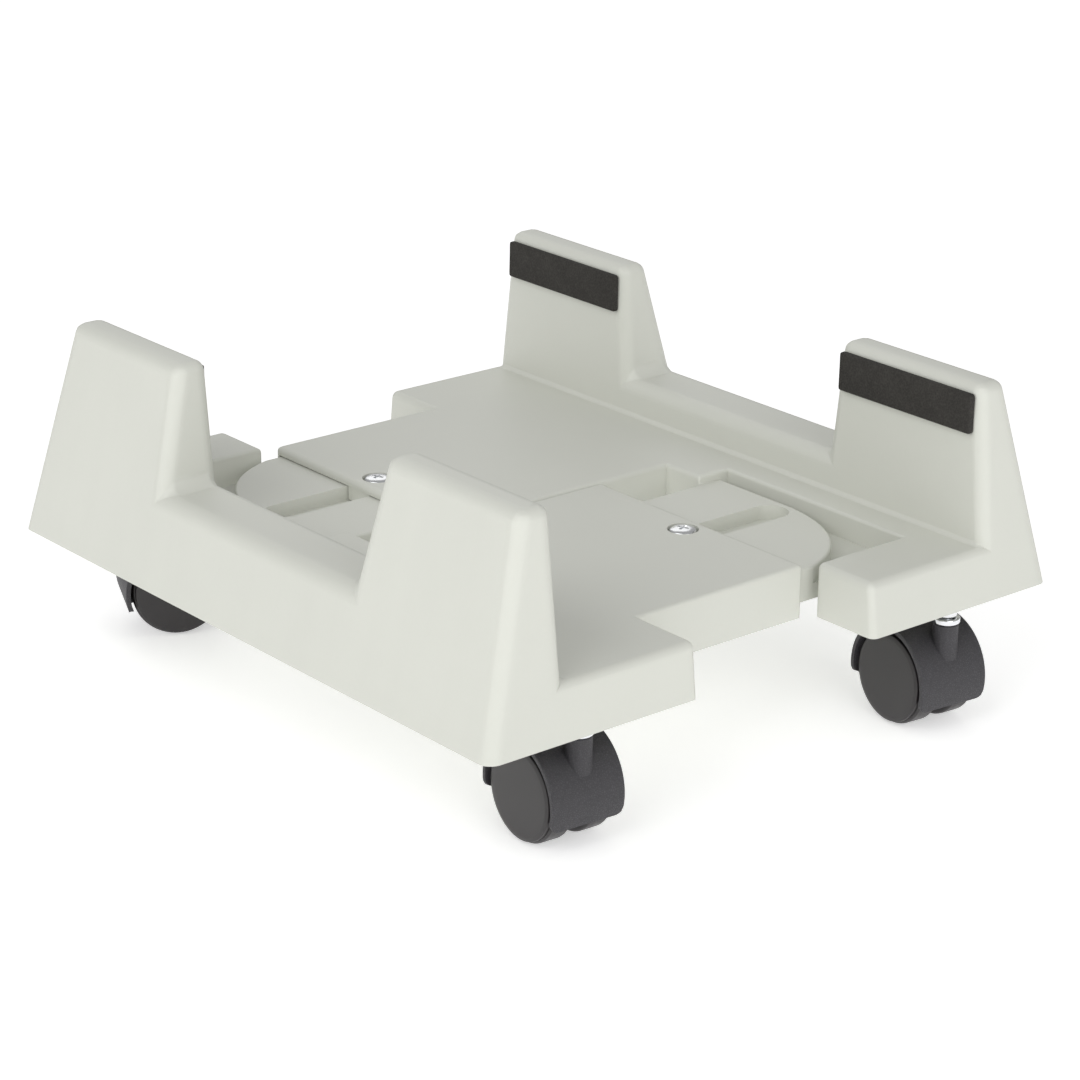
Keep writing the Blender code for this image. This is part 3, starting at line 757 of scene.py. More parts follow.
# ---------------------------------------------------------------------------
# Places, read from the frame
# ---------------------------------------------------------------------------

def middle(node):
    """Middle of a node's box."""
    low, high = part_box(node)
    return (low + high) / 2


def half_matrix(side):
    """Half frame of one side in the stand, read from the rail's box."""
    low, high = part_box(side + "_rail")
    if side == "left":
        return Matrix.Translation(low)
    return Matrix.Translation(Vector((high.x, high.y, low.z))) @ Matrix.Rotation(math.pi, 4, "Z")


def swivel_of(prefix):
    """Floor point of a caster's swivel axis, and the caster's turn about it."""
    stem = middle(prefix + "_stem")
    axle = middle(prefix + "_axle")
    reach = axle - stem
    return Vector((stem.x, stem.y, 0.0)), math.atan2(-reach.x, reach.y)


def put(obj, position, turn=0.0):
    """Set an object's place and its turn about the vertical."""
    obj.location = position
    obj.rotation_euler = (0.0, 0.0, turn)
    bpy.context.view_layer.update()
    return obj


# ---------------------------------------------------------------------------
# Moulding
# ---------------------------------------------------------------------------

def inner_face(h):
    """Inward position of the post and rail inner face at a height."""
    return INNER_FACE_LOW + (INNER_FACE_HIGH - INNER_FACE_LOW) * h / POST_TOP


def facing_side(h):
    """Position along the rail of the post side that faces the gap, at a height."""
    slope = (POST_HEAD - POST_FOOT) / (POST_TOP - RAIL_TOP)
    return POST_FOOT + slope * (h - RAIL_TOP)


def rail_outline(margin):
    """Side view of rail and posts as (v, h) points, set in by a wall thickness."""
    end_low = margin + END_LEAN * (0.0 - margin) if margin else -12.0
    end_high = margin + END_LEAN * (POST_TOP - margin) if margin else -12.0
    bottom = -2.0 if margin else 0.0
    top = POST_TOP - margin
    deck = RAIL_TOP - margin
    head = facing_side(top) - margin
    foot = facing_side(deck) - margin
    return [
        (end_low, bottom),
        (DEPTH - end_low, bottom),
        (DEPTH - end_high, top),
        (DEPTH - head, top),
        (DEPTH - foot, deck),
        (foot, deck),
        (head, top),
        (end_high, top),
    ]


def rail_solid(margin):
    """Rail with its two posts; with a margin, the hollow inside it."""
    outline = rail_outline(margin)
    inner = [(inner_face(h) - margin, v, h) for v, h in outline]
    if margin:
        outer = [(OUTER_LEAN * h + margin, v, h) for v, h in outline]
    else:
        outer = [(-12.0, v, h) for v, h in outline]
    return loft(outer, inner)


def plateau_outline():
    """Plan of the tongue: straight sides and one large rounded corner by the rail."""
    start = Vector((46.5, 180.0))
    control = Vector((50.0, 214.0))
    finish = Vector((80.0, TONGUE_FAR_V))
    points = [(46.5, STOP_V), (TONGUE_U - 2.0, STOP_V), (TONGUE_U, STOP_V + 2.0)]
    points += [(TONGUE_U, TONGUE_FAR_V - 2.0), (TONGUE_U - 2.0, TONGUE_FAR_V)]
    steps = 22
    for i in range(steps + 1):
        t = 1.0 - i / steps
        p = (1 - t) ** 2 * start + 2 * t * (1 - t) * control + t * t * finish
        points.append((p.x, p.y))
    return points


def channel_outline(width, start, end):
    """Plan of a slot along u with a rounded closed end near the rail."""
    half = width / 2
    return [(end, CHANNEL_V - half), (end, CHANNEL_V + half)] + arc(
        (start + half, CHANNEL_V), half, 90.0, 270.0, 24)


def waste_profile(lean):
    """Section of what is cut away outside a leaning face, as (distance inward, height) points."""
    low, high = -3.0, 80.0
    far = -40.0
    return [(far, low), (lean * low, low), (lean * high, high), (far, high)]


def trim_faces(solid):
    """Cut the leaning outer face and the two leaning end faces."""
    outer = waste_profile(OUTER_LEAN)
    first = [(u, -OVERRUN, h) for u, h in outer]
    last = [(u, DEPTH + OVERRUN, h) for u, h in outer]
    cut(solid, loft(first, last))
    near_end = waste_profile(END_LEAN)
    far_end = [(DEPTH - v, h) for v, h in near_end]
    for end in (near_end, far_end):
        first = [(-OVERRUN, v, h) for v, h in end]
        last = [(MOULDING_REACH, v, h) for v, h in end]
        cut(solid, loft(first, last))
    return solid


def edge_radius(a, b):
    """Rounding of one edge of the outer skin, from where it lies, in millimetres."""
    settings = bpy.context.scene.tower_stand.moulding
    skin, deck = settings.skin_radius, settings.deck_radius
    u, v, h = (a + b) / 2
    if max(a.z, b.z) < 0.1:
        return 0.0
    on_outer = abs(u - OUTER_LEAN * h) < 0.05
    on_inner = abs(u - inner_face(h)) < 0.05 and h > DECK_TOP + 0.1
    on_end = min(abs(v - END_LEAN * h), abs(DEPTH - v - END_LEAN * h)) < 0.05
    if min(a.z, b.z) > POST_TOP - 0.1:
        return POST_TOP_RADIUS
    if on_outer or (on_inner and h > DECK_TOP + 1.0):
        return skin if abs(a.z - b.z) > 1.0 or h > RAIL_TOP - 1.0 else 0.0
    if h > DECK_TOP + 1.0:
        return skin
    if on_end and u > INNER_FACE_LOW:
        return BLOCK_RADIUS
    level = min(a.z, b.z) > DECK_TOP - 0.1
    if level and abs(u - inner_face(h)) < 0.1:
        return FOOT_FILLET
    if level and abs(u - LONG_BLOCK_U) < 0.5 and (v < DECK_FRONT_V or v > SHORT_BLOCK_V):
        return BLOCK_RADIUS
    if level and abs(u - DECK_U) < 0.1:
        return deck
    if level:
        return DECK_EDGE_RADIUS
    if abs(a.z - b.z) > 8.0 and u > 80.0 and (v < 60.0 or v > 225.0):
        return BLOCK_CORNER_RADIUS
    if min(a.z, b.z) > PLATEAU_TOP - 0.1:
        return TONGUE_EDGE_RADIUS
    return 0.0


def fine_edge_radius(a, b):
    """Small rounding of the bottom rim, of the channel and of the counterbore, in millimetres."""
    u, v, h = (a + b) / 2
    flat = abs(a.z - b.z) < 0.02
    if flat and h < 0.05:
        return RIM_RADIUS
    in_channel = abs(v - CHANNEL_V) < CHANNEL_WIDTH / 2 + 0.05 and CHANNEL_START_U - 0.1 < u < CHANNEL_END_U
    if flat and abs(h - PLATEAU_TOP) < 0.03 and in_channel:
        return CHANNEL_EDGE_RADIUS
    if flat and abs(h - DECK_TOP) < 0.03 and math.hypot(u - SCREW_U, v - SCREW_V) < 5.5:
        return RIM_RADIUS
    return 0.0


def deck_level_outline():
    """Plan of everything whose top is at deck height."""
    return [
        (20.0, -12.0),
        (LONG_BLOCK_U, -12.0),
        (LONG_BLOCK_U, DECK_FRONT_V),
        (DECK_U, DECK_FRONT_V),
        (DECK_U, DECK_INNER_V),
        (STOP_U, DECK_INNER_V),
        (STOP_U, STOP_V),
        (LEDGE_U, STOP_V),
        (LEDGE_U, SHORT_BLOCK_V),
        (SHORT_BLOCK_U, SHORT_BLOCK_V),
        (SHORT_BLOCK_U, DEPTH + 12.0),
        (20.0, DEPTH + 12.0),
    ]


def sloped_pocket(low_corner, high_corner, end):
    """Hollow with one side parallel to a leaning end face; end is -1 or 1."""
    u0, v0 = low_corner
    u1, v1 = high_corner
    lean = END_LEAN * (DECK_UNDERSIDE + 2.0)
    low = [(u0, v0, -2.0), (u1, v0, -2.0), (u1, v1, -2.0), (u0, v1, -2.0)]
    if end < 0:
        high = [(u0, v0 + lean), (u1, v0 + lean), (u1, v1), (u0, v1)]
    else:
        high = [(u0, v0), (u1, v0), (u1, v1 - lean), (u0, v1 - lean)]
    return loft(low, [(u, v, DECK_UNDERSIDE) for u, v in high])


def hollow_out(solid):
    """Take out the underside so that only walls, skirts and ribs stay."""
    inner = INNER_FACE_LOW
    near = CHANNEL_V - CHANNEL_WIDTH / 2 - SKIRT
    far = CHANNEL_V + CHANNEL_WIDTH / 2 + SKIRT
    tongue_wall = 2.4
    ceiling = PLATEAU_TOP - tongue_wall
    root = 6.9
    root_end = 82.0
    wing_start = root_end + SKIRT
    end = TONGUE_U - SKIRT
    block_end = LONG_BLOCK_U - SKIRT
    cut(
        solid,
        rail_solid(WALL),
        sloped_pocket((inner, WALL), (block_end, DECK_FRONT_V), -1),
        sloped_pocket((inner, SHORT_BLOCK_V + SKIRT), (SHORT_BLOCK_U - SKIRT, DEPTH - WALL), 1),
        box((inner, DECK_FRONT_V + SKIRT, -2.0), (DECK_U + 10.0, DECK_INNER_V - SKIRT, DECK_UNDERSIDE)),
        box((inner, DECK_INNER_V, -2.0), (STOP_U - SKIRT, STOP_V - SKIRT, DECK_UNDERSIDE)),
        box((inner, STOP_V, -2.0), (LEDGE_U - SKIRT, SHORT_BLOCK_V, DECK_UNDERSIDE)),
        box((wing_start, STOP_V + SKIRT, 1.0), (end, near, ceiling)),
        box((wing_start, far, 1.0), (end, TONGUE_FAR_V - SKIRT, ceiling)),
        box((LEDGE_U, near, 1.0), (end, far, CHANNEL_FLOOR - tongue_wall)),
        box((LEDGE_U, STOP_V + SKIRT, 1.0), (root_end, near, root)),
        box((LEDGE_U, far, 1.0), (root_end, TONGUE_FAR_V - SKIRT, root)),
    )
    return solid


def build_moulding():
    """Model one half moulding in its half frame and return its mesh."""
    settings = bpy.context.scene.tower_stand.moulding
    solid = rail_solid(0.0)
    tongue = slab(plateau_outline(), TONGUE_BOTTOM, PLATEAU_TOP)
    join(tongue, box((38.0, STOP_V - 3.0, TONGUE_BOTTOM), (80.0, TONGUE_FAR_V, GUTTER_TOP)))
    join(solid, slab(deck_level_outline(), 0.0, DECK_TOP), tongue)
    trim_faces(solid)
    clean(solid)
    weighted_bevel(solid, edge_radius, settings.skin_radius, settings.segments)
    hollow_out(solid)
    half = GUIDE_WIDTH / 2
    ceiling = DECK_UNDERSIDE + 0.8
    join(
        solid,
        box((GUIDE_START_U, SCREW_V - half, GUIDE_BOTTOM), (DECK_U - 0.4, SCREW_V + half, ceiling)),
        box((SEAT_LONG[0] - 1.0, 1.9, 2.0), (SEAT_LONG[0] + 1.0, 29.0, ceiling)),
        box((SEAT_SHORT[0] - 1.0, 228.5, 2.0), (SEAT_SHORT[0] + 1.0, SEAT_SHORT[1], ceiling)),
        cylinder(SEAT_LONG, BOSS_R, 0.0, ceiling + 0.1),
        cylinder(SEAT_SHORT, BOSS_R, 0.0, ceiling + 0.1),
    )
    above = PLATEAU_TOP + 5.0
    cut(
        solid,
        slab(channel_outline(CHANNEL_WIDTH, CHANNEL_START_U, CHANNEL_END_U), CHANNEL_FLOOR, above),
        slab(channel_outline(SLOT_WIDTH, CHANNEL_START_U + 5.0, CHANNEL_END_U - 4.0), 2.0, above),
        cylinder((SCREW_U, SCREW_V), SCREW_RECESS_R, SCREW_RECESS_FLOOR, CLEAR_ABOVE),
        cylinder((SCREW_U, SCREW_V), SCREW_HOLE_R, 5.0, CLEAR_ABOVE, 32),
        cylinder(SEAT_LONG, BOSS_HOLE_R, -2.0, SEAT_HOLE_TOP),
        cylinder(SEAT_SHORT, BOSS_HOLE_R, -2.0, SEAT_HOLE_TOP),
    )
    clean(solid, 0.1)
    weighted_bevel(solid, fine_edge_radius, 0.5, 3, clamp=False)
    soften(solid, 32.0)
    return take_mesh(solid, "half_moulding")


# ---------------------------------------------------------------------------
# Foam pads
# ---------------------------------------------------------------------------

def eased(steps):
    """Positions from -1 to 1, close together at both ends."""
    return [math.sin(math.pi / 2 * (2 * i / steps - 1)) for i in range(steps + 1)]


def round_corner(a, b, half_a, half_b, radius):
    """Pull a point of a rectangle's corner onto a quarter circle."""
    x = abs(a) - (half_a - radius)
    y = abs(b) - (half_b - radius)
    if x <= 0 or y <= 0:
        return a, b
    x, y = x / radius, y / radius
    x, y = x * math.sqrt(1 - y * y / 2), y * math.sqrt(1 - x * x / 2)
    return (math.copysign(half_a - radius + x * radius, a),
            math.copysign(half_b - radius + y * radius, b))


def foam_height(a, b, half_a, half_b, thickness, settings):
    """Thickness of the foam at a point of its face, in millimetres."""
    border = min(half_a - abs(a), half_b - abs(b))
    inset = 1.0 - min(1.0, max(0.0, border / settings.edge))
    rounded = math.sqrt(max(0.0, 1.0 - inset * inset))
    swell = settings.crown * (1 - (a / half_a) ** 2) * (1 - (b / half_b) ** 2)
    ripple = 0.05 * noise.noise(Vector((a * 0.35, b * 0.35, thickness)))
    return thickness - settings.crown - settings.edge * (1.0 - rounded) + swell + ripple * rounded


def build_pad(length, height, thickness):
    """Foam strip lying against the plane x = 0, its soft face towards +x, centred on y and z."""
    settings = bpy.context.scene.tower_stand.pad
    half_a, half_b = length / 2, height / 2
    bm = bmesh.new()
    columns = eased(FOAM_COLUMNS)
    rows = eased(FOAM_ROWS)
    back, front = [], []
    for p in columns:
        back_column, front_column = [], []
        for q in rows:
            a, b = round_corner(p * half_a, q * half_b, half_a, half_b, FOAM_CORNER)
            depth = foam_height(p * half_a, q * half_b, half_a, half_b, thickness, settings)
            back_column.append(bm.verts.new(Vector((0.0, a, b)) * MM))
            front_column.append(bm.verts.new(Vector((depth, a, b)) * MM))
        back.append(back_column)
        front.append(front_column)
    for i in range(len(columns) - 1):
        for j in range(len(rows) - 1):
            bm.faces.new((front[i][j], front[i + 1][j], front[i + 1][j + 1], front[i][j + 1]))
            bm.faces.new((back[i][j], back[i][j + 1], back[i + 1][j + 1], back[i + 1][j]))
    last_column, last_row = len(columns) - 1, len(rows) - 1
    border = [(i, 0) for i in range(last_column)]
    border += [(last_column, j) for j in range(last_row)]
    border += [(i, last_row) for i in range(last_column, 0, -1)]
    border += [(0, j) for j in range(last_row, 0, -1)]
    for (i, j), (k, m) in zip(border, border[1:] + border[:1]):
        bm.faces.new((back[i][j], back[k][m], front[k][m], front[i][j]))
    pad = link_mesh("pad", mesh_from("pad", bm))
    return soften(pad, 50.0)


# ---------------------------------------------------------------------------
# Casters
# ---------------------------------------------------------------------------

def hood_half_width(angle):
    """Half width of the hood at an angle round the axle, narrowed by the rounded bottom corners."""
    from_end = min(angle - HOOD_FRONT_END, HOOD_BACK_END - angle)
    reach = math.radians(from_end) * HOOD_R
    if reach >= HOOD_CORNER:
        return HOOD_HALF_WIDTH
    missing = HOOD_CORNER - reach
    return HOOD_HALF_WIDTH - HOOD_CORNER + math.sqrt(max(0.0, HOOD_CORNER ** 2 - missing ** 2))


def hood_angles():
    """Angles round the axle of the hood's outline, close together at the rounded corners."""
    corner = math.degrees(HOOD_CORNER / HOOD_R)
    start = HOOD_FRONT_END + corner
    finish = HOOD_BACK_END - corner
    shares = [1.0 - math.cos(math.radians(step)) for step in (0.0, 15.0, 30.0, 45.0, 60.0, 75.0)]
    angles = [HOOD_FRONT_END + corner * share for share in shares]
    steps = 64
    angles += [start + (finish - start) * i / steps for i in range(steps + 1)]
    angles += [HOOD_BACK_END - corner * share for share in reversed(shares)]
    return angles


def arch_ring(y):
    """Outline of the shallow arch in the back edge of the hood, across the caster."""
    points = [(ARCH_HALF_WIDTH * c, y, 9.0 + 8.0 * s) for c, s in arc((0.0, 0.0), 1.0, 0.0, 180.0, 24)]
    return points + [(-ARCH_HALF_WIDTH, y, 0.0), (ARCH_HALF_WIDTH, y, 0.0)]


def build_hood():
    """Swivelling body between the wheels, in the caster frame, origin on the swivel axis."""
    bm = bmesh.new()
    sides = []
    for side in (-1, 1):
        ring = []
        for angle in hood_angles():
            a = math.radians(angle)
            y = AXLE_OFFSET - HOOD_R * math.cos(a)
            z = WHEEL_R + HOOD_R * math.sin(a)
            ring.append(bm.verts.new(Vector((side * hood_half_width(angle), y, z)) * MM))
        for along in (10.0, -10.0):
            corner = Vector((side * HOOD_HALF_WIDTH, AXLE_OFFSET + along, WEB_BOTTOM)) * MM
            ring.append(bm.verts.new(corner))
        centre = bm.verts.new(Vector((side * HOOD_HALF_WIDTH, AXLE_OFFSET, WHEEL_R)) * MM)
        sides.append((centre, ring))
    (left_centre, left), (right_centre, right) = sides
    count = len(left)
    for i in range(count):
        j = (i + 1) % count
        bm.faces.new((left_centre, left[i], left[j]))
        bm.faces.new((right_centre, right[j], right[i]))
        bm.faces.new((left[j], left[i], right[i], right[j]))
    hood = link_mesh("hood", mesh_from("hood", bm))
    join(hood, cylinder((0.0, 0.0), HOOD_BOSS_R, 25.0, HOOD_TOP, 64))
    for side in (-1, 1):
        low, high = sorted((side * WEB_HALF, side * 20.0))
        cut(hood, x_cylinder(AXLE_OFFSET, WHEEL_R, HOOD_INNER_R, low, high))
    cut(
        hood,
        loft(arch_ring(AXLE_OFFSET + 12.0), arch_ring(AXLE_OFFSET + 30.0)),
        cylinder((0.0, 0.0), 2.6, 22.4, HOOD_TOP + 3.0, 32),
        x_cylinder(AXLE_OFFSET, WHEEL_R, 2.3, -8.0, 8.0, 32),
    )
    clean(hood)
    weighted_bevel(hood, hood_edge_radius, 0.5, 3)
    soften(hood, 40.0)
    return take_mesh(hood, "caster_hood")


def hood_edge_radius(a, b):
    """Rounding of one edge of the hood: its rim and the top of its boss."""
    middle_point = (a + b) / 2
    from_axle = math.hypot(middle_point.y - AXLE_OFFSET, middle_point.z - WHEEL_R)
    rim = abs(abs(middle_point.x) - HOOD_HALF_WIDTH) < 0.3 and from_axle > HOOD_R - 0.4
    boss_top = min(a.z, b.z) > HOOD_TOP - 0.05
    if rim:
        return 0.5
    if boss_top:
        return 0.35
    return 0.0


def build_wheel():
    """One wheel on the +x side of the axle's middle: tread with round shoulders, hollowed inner side."""
    segments = bpy.context.scene.tower_stand.caster.segments
    low = WEB_HALF + 0.4
    face = CASTER_HALF_WIDTH - DISC_PROUD
    shoulder = 1.0
    profile = [(2.4, low), (5.2, low), (5.8, low + 0.5), (6.0, low + 3.2), (12.2, low + 3.4)]
    profile += [(13.0, low + 0.4), (13.4, low)]
    profile += arc((WHEEL_R - shoulder, low + shoulder), shoulder, -90.0, -8.0, 6)
    profile += [(WHEEL_R, (low + face) / 2 - 1.0), (WHEEL_R, (low + face) / 2 + 1.0)]
    profile += arc((WHEEL_R - shoulder, face - shoulder), shoulder, 8.0, 90.0, 7)
    profile += [(DISC_R - 1.2, face), (DISC_R - 1.6, face - 0.6), (5.0, face - 0.7)]
    profile += [(5.0, face - 1.6), (2.4, face - 1.6)]
    wheel = turned(profile, segments, "X")
    soften(wheel, 38.0)
    return take_mesh(wheel, "caster_wheel")


def build_cap():
    """Slightly domed disc that closes the outer side of a wheel, with a bevelled rim."""
    segments = bpy.context.scene.tower_stand.caster.segments
    face = CASTER_HALF_WIDTH - DISC_PROUD + 0.1
    high = CASTER_HALF_WIDTH - 0.05
    profile = [(0.0, face), (DISC_R - 0.1, face), (DISC_R, face + 0.1), (DISC_R, high - 0.75)]
    profile += arc((DISC_R - 0.4, high - 0.75), 0.4, 12.0, 60.0, 4)
    profile += [(DISC_R - 1.05, high - 0.16)]
    for share in (0.9, 0.75, 0.55, 0.35, 0.18):
        profile.append((DISC_R * share, high - 0.10 + 0.15 * (1 - share ** 2)))
    profile.append((0.0, high + 0.05))
    cap = turned(profile, segments, "X")
    soften(cap, 24.0)
    return take_mesh(cap, "wheel_cap")


def stem_profile():
    """Steel stem: thin pivot in the hood, thicker shank in the socket with a ring groove."""
    neck = HOOD_TOP + 2.7
    return [
        (0.0, 23.4),
        (1.9, 23.4),
        (2.3, 23.8),
        (2.3, neck),
        (3.2, neck),
        (3.5, neck + 0.3),
        (3.5, STEM_TOP - 3.2),
        (3.1, STEM_TOP - 3.0),
        (3.1, STEM_TOP - 2.2),
        (3.5, STEM_TOP - 2.0),
        (3.5, STEM_TOP - 0.8),
        (3.3, STEM_TOP - 0.35),
        (2.8, STEM_TOP),
        (0.0, STEM_TOP),
    ]


def axle_profile():
    """Steel axle with chamfered ends, along its own length."""
    low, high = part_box("left_front_caster_axle")
    reach, turn = high - low, swivel_of("left_front_caster")[1]
    half = (reach.x - 2 * AXLE_R * MM * abs(math.sin(turn))) / (2 * abs(math.cos(turn))) / MM
    return [(0.0, -half), (AXLE_R - 0.4, -half), (AXLE_R, 0.4 - half), (AXLE_R, half - 0.4),
            (AXLE_R - 0.4, half), (0.0, half)]


# ---------------------------------------------------------------------------
# Clamp screws
# ---------------------------------------------------------------------------

def screw_profile():
    """Pan-head screw in half-frame heights: rounded tip, thread grooves, shank and low dome."""
    head = 16.8
    radius = 4.6
    points = [(0.0, 2.6), (1.3, 2.6), (1.65, 3.0)]
    pitch = 0.7
    for i in range(12):
        z = 3.2 + i * pitch
        points += [(1.9, z), (1.9, z + 0.12), (1.62, z + 0.35), (1.62, z + 0.47)]
    points += [(1.9, 12.0), (1.9, head), (radius - 0.25, head), (radius, head + 0.25)]
    steps = 9
    for i in range(steps + 1):
        angle = math.pi / 2 * i / steps
        points.append((radius * math.cos(angle) ** 0.55, head + 0.8 + 1.25 * math.sin(angle)))
    return points


def cross(reach, width):
    """Outline of a cross with four equal arms."""
    quarter = [(reach, -width), (reach, width), (width, width)]
    points = []
    for turn in range(4):
        c, s = (1, 0, -1, 0)[turn], (0, 1, 0, -1)[turn]
        points += [(c * x - s * y, s * x + c * y) for x, y in quarter]
    return points


def build_screw():
    """Clamp screw with a tapered cross recess, heights as in the half frame."""
    screw = turned(screw_profile(), 64)
    low = [(x, y, 17.2) for x, y in cross(0.95, 0.32)]
    high = [(x, y, 19.4) for x, y in cross(2.65, 0.58)]
    cut(screw, loft(low, high))
    return take_mesh(soften(screw, 30.0), "clamp_screw")


def build_nut():
    """Hexagon nut with chamfered corners and an open bore."""
    radius, bore, low, high = 4.05, 2.3, 3.2, 6.2
    chamfer = 0.34
    profile = [(bore + 0.3, low), (radius - 0.5, low), (radius + 0.1, low + chamfer),
               (radius + 0.1, high - chamfer), (radius - 0.5, high), (bore + 0.3, high),
               (bore, high - 0.3), (bore, low + 0.3)]
    nut = turned(profile, 60)
    combine(nut, "INTERSECT", slab(circle(radius, 6), low - 1.0, high + 1.0))
    return take_mesh(soften(nut, 25.0), "clamp_nut")


# ---------------------------------------------------------------------------
# Operators
# ---------------------------------------------------------------------------

class STAND_OT_mouldings(bpy.types.Operator):
    """Build the two grey mouldings"""

    bl_idname = "stand.mouldings"
    bl_label = "Mouldings"

    def execute(self, context):
        plastic = material_once("satin_grey_plastic", satin_plastic)
        mesh = build_moulding()
        for side in SIDES:
            obj = link_mesh(side + "_moulding", mesh.copy())
            obj.matrix_world = half_matrix(side)
            bpy.context.view_layer.update()
            nodes = [side + "_" + section for section in SECTIONS]
            finish_piece(obj, side + "_moulding", side + "_half", nodes, plastic)
        return {"FINISHED"}


class STAND_OT_pads(bpy.types.Operator):
    """Build the four foam pads"""

    bl_idname = "stand.pads"
    bl_label = "Foam pads"

    def execute(self, context):
        foam = material_once("black_cut_foam", cut_foam)
        lean = math.atan2(INNER_FACE_LOW - INNER_FACE_HIGH, POST_TOP)
        for side in SIDES:
            for end in ("front", "back"):
                node = side + "_" + end + "_pad"
                low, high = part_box(node)
                size = (high - low) / MM
                slant = size.z * math.tan(lean)
                pad = build_pad(size.y, size.z, size.x - slant)
                sign = 1.0 if side == "left" else -1.0
                root = low.x if side == "left" else high.x
                centre = Vector((root + sign * slant / 2 * MM, (low.y + high.y) / 2, (low.z + high.z) / 2))
                pad.rotation_euler = (0.0, -lean, 0.0 if side == "left" else math.pi)
                pad.location = centre
                bpy.context.view_layer.update()
                finish_piece(pad, node.replace("_pad", "_foam"), side + "_half", [node], foam)
        return {"FINISHED"}


class STAND_OT_hoods(bpy.types.Operator):
    """Build the caster hoods"""

    bl_idname = "stand.hoods"
    bl_label = "Caster hoods"

    def execute(self, context):
        plastic = material_once("leather_grain_plastic", leather_grain)
        mesh = build_hood()
        for prefix, _ in CASTERS:
            hood = link_mesh(prefix + "_cover", mesh.copy())
            put(hood, *swivel_of(prefix))
            finish_piece(hood, prefix + "_cover", prefix, [prefix + "_hood"], plastic)
        return {"FINISHED"}


class STAND_OT_wheels(bpy.types.Operator):
    """Build the twin wheels and their caps"""

    bl_idname = "stand.wheels"
    bl_label = "Wheels"

    def execute(self, context):
        plastic = material_once("satin_wheel_plastic", wheel_plastic)
        meshes = (("wheel", "tread", build_wheel()), ("cap", "disc", build_cap()))
        for prefix, _ in CASTERS:
            centre = middle(prefix + "_axle")
            turn = swivel_of(prefix)[1]
            for label, turned_by in (("a", 0.0), ("b", math.pi)):
                for node, word, mesh in meshes:
                    name = prefix + "_" + word + "_" + label
                    piece = link_mesh(name, mesh.copy())
                    put(piece, centre, turn + turned_by)
                    body = prefix + "_wheel_" + label
                    cad_node = prefix + "_" + node + "_" + label
                    finish_piece(piece, name, body, [cad_node], plastic)
        return {"FINISHED"}


class STAND_OT_stems(bpy.types.Operator):
    """Build the stems, collars, bushes and axles of the casters"""

    bl_idname = "stand.stems"
    bl_label = "Stems and axles"

    def execute(self, context):
        steel = material_once("zinc_plated_steel", plated_steel)
        chrome = material_once("bright_chrome", bright_chrome)
        nylon = material_once("natural_nylon", natural_nylon)
        collar = ring_profile(2.65, 4.6, HOOD_TOP + 0.3, HOOD_TOP + 2.3, 0.45)
        bush = ring_profile(3.8, 4.3, SOCKET_LOW, STEM_TOP - 0.4, 0.12)
        for prefix, side in CASTERS:
            foot, turn = swivel_of(prefix)
            fixed = (
                ("stem", "pin", stem_profile(), "zinc_fastener", steel),
                ("collar", "ring", collar, "chrome_collar", chrome),
                ("bush", "sleeve", bush, "nylon_bush", nylon),
            )
            for node, word, profile, slot, material in fixed:
                piece = put(turned(profile, 56), foot)
                soften(piece, 40.0)
                cad_node = prefix + "_" + node
                finish_piece(piece, prefix + "_" + word, side + "_half", [cad_node], material)
            axle = put(turned(axle_profile(), 40, "X"), middle(prefix + "_axle"), turn)
            soften(axle, 40.0)
            finish_piece(axle, prefix + "_spindle", prefix, [prefix + "_axle"], steel)
        return {"FINISHED"}


class STAND_OT_clamps(bpy.types.Operator):
    """Build the clamp screws with their washers and nuts"""

    bl_idname = "stand.clamps"
    bl_label = "Clamp screws"

    def execute(self, context):
        settings = context.scene.tower_stand.steel
        steel = material_once("zinc_plated_steel", plated_steel)
        screw_mesh = build_screw()
        nut_mesh = build_nut()
        washer = turned(ring_profile(2.3, 5.2, 6.5, 7.4, 0.2), 64)
        washer_mesh = take_mesh(soften(washer, 40.0), "clamp_washer")
        for side in SIDES:
            centre = middle(side + "_clamp_screw")
            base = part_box(side + "_rail")[0].z
            place = Vector((centre.x, centre.y, base))
            rows = (
                ("screw", "crosshead", side + "_screw", screw_mesh, settings.turn),
                ("washer", "flat_ring", side + "_half", washer_mesh, 0.0),
                ("nut", "hexagon", side + "_half", nut_mesh, 0.0),
            )
            for node, word, body, mesh, turn in rows:
                name = side + "_clamp_" + word
                piece = put(link_mesh(name, mesh.copy()), place, turn)
                finish_piece(piece, name, body, [side + "_clamp_" + node], steel)
        return {"FINISHED"}


def add_light(name, azimuth, elevation, distance, size, power, target):
    """Square soft light that looks at a point."""
    data = bpy.data.lights.new(name, "AREA")
    data.shape = "SQUARE"
    data.size = size
    data.energy = power
    light = bpy.data.objects.new(name, data)
    bpy.context.scene.collection.objects.link(light)
    a, e = math.radians(azimuth), math.radians(elevation)
    towards = Vector((math.sin(a) * math.cos(e), -math.cos(a) * math.cos(e), math.sin(e)))
    light.location = target + towards * distance
    light.rotation_euler = towards.to_track_quat("Z", "Y").to_euler()
    return light


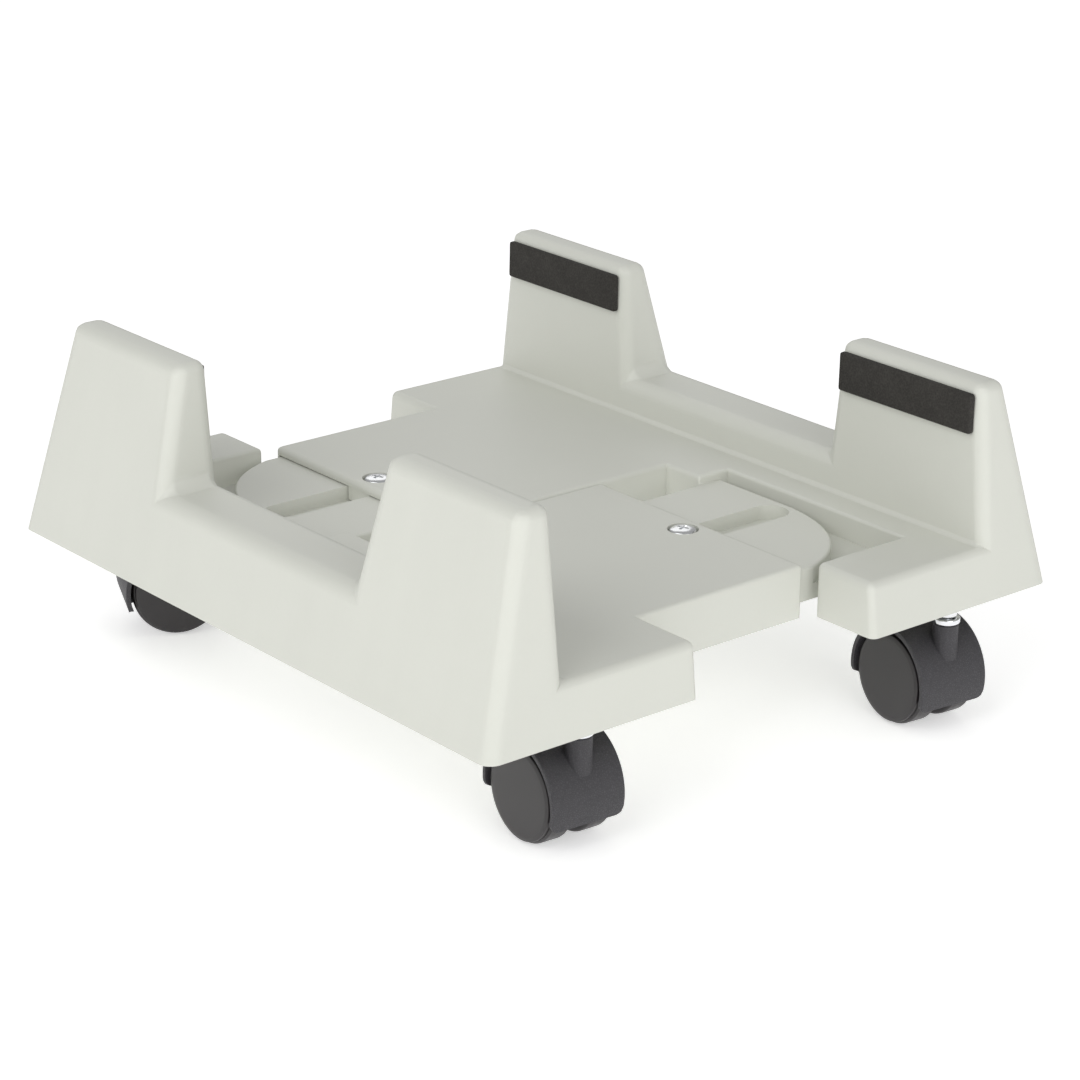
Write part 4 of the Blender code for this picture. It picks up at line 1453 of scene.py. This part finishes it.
def add_camera(settings, target):
    """Camera that looks at a point from the settings' direction."""
    a, e = settings.azimuth, settings.elevation
    right = Vector((math.cos(a), math.sin(a), 0.0))
    back = Vector((math.sin(a) * math.cos(e), -math.cos(a) * math.cos(e), math.sin(e)))
    up = back.cross(right)
    c, s = math.cos(settings.roll), math.sin(settings.roll)
    across = right * c + up * s
    upward = up * c - right * s
    data = bpy.data.cameras.new("studio_camera")
    data.lens = settings.lens
    data.sensor_width = 36.0
    data.clip_start = 0.01
    data.dof.use_dof = False
    camera = bpy.data.objects.new("studio_camera", data)
    bpy.context.scene.collection.objects.link(camera)
    turn = Matrix((across, upward, back)).transposed().to_4x4()
    camera.matrix_world = Matrix.Translation(target + back * settings.distance) @ turn
    bpy.context.scene.camera = camera
    return camera


class STAND_OT_stage(bpy.types.Operator):
    """Lay the pale floor and set the soft lights and the camera"""

    bl_idname = "stand.stage"
    bl_label = "Stage"

    def execute(self, context):
        settings = context.scene.tower_stand.stage
        low, high = cad_box
        centre = (Vector(low) + Vector(high)) / 2
        bm = bmesh.new()
        bmesh.ops.create_grid(bm, x_segments=8, y_segments=8, size=FLOOR_HALF_SIZE)
        paper = material_once("pale_floor", pale_floor)
        floor = link_mesh("studio_floor", mesh_from("studio_floor", bm), paper)
        floor.location = (0.0, 0.0, low[2] - FLOOR_CLEARANCE)
        world = bpy.data.worlds.new("studio")
        world.use_nodes = True
        background = world.node_tree.nodes["Background"]
        background.inputs["Color"].default_value = (1.0, 1.0, 1.0, 1.0)
        background.inputs["Strength"].default_value = SKY_STRENGTH
        context.scene.world = world
        for window in WINDOWS:
            add_light(*window, centre)
        add_camera(settings, centre + Vector(settings.aim))
        context.scene.view_settings.view_transform = "Standard"
        return {"FINISHED"}


OPERATORS = (
    STAND_OT_stage,
    STAND_OT_mouldings,
    STAND_OT_pads,
    STAND_OT_hoods,
    STAND_OT_wheels,
    STAND_OT_stems,
    STAND_OT_clamps,
)


class STAND_PT_panel(bpy.types.Panel):
    """Pieces of the stand"""

    bl_idname = "STAND_PT_panel"
    bl_label = "Tower stand"
    bl_space_type = "VIEW_3D"
    bl_region_type = "UI"
    bl_category = "Tower stand"

    def draw(self, context):
        settings = context.scene.tower_stand
        for operator in OPERATORS:
            self.layout.operator(operator.bl_idname)
        for group in (settings.moulding, settings.pad, settings.caster, settings.steel, settings.stage):
            column = self.layout.column(align=True)
            for key in group.bl_rna.properties.keys():
                if key not in ("rna_type", "name"):
                    column.prop(group, key)


CLASSES = (
    MouldingSettings,
    PadSettings,
    CasterSettings,
    SteelSettings,
    StageSettings,
    StandSettings,
    *OPERATORS,
    STAND_PT_panel,
)


def register():
    """Register the classes and the scene's settings."""
    for cls in CLASSES:
        bpy.utils.register_class(cls)
    bpy.types.Scene.tower_stand = PointerProperty(
        name="Tower stand", description="Settings of the stand's pieces", type=StandSettings)


def unregister():
    """Remove the scene's settings and the classes."""
    del bpy.types.Scene.tower_stand
    for cls in reversed(CLASSES):
        bpy.utils.unregister_class(cls)


def main():
    """Register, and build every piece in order."""
    register()
    bpy.ops.stand.stage()
    bpy.ops.stand.mouldings()
    bpy.ops.stand.pads()
    bpy.ops.stand.hoods()
    bpy.ops.stand.wheels()
    bpy.ops.stand.stems()
    bpy.ops.stand.clamps()


if __name__ == "__main__":
    main()
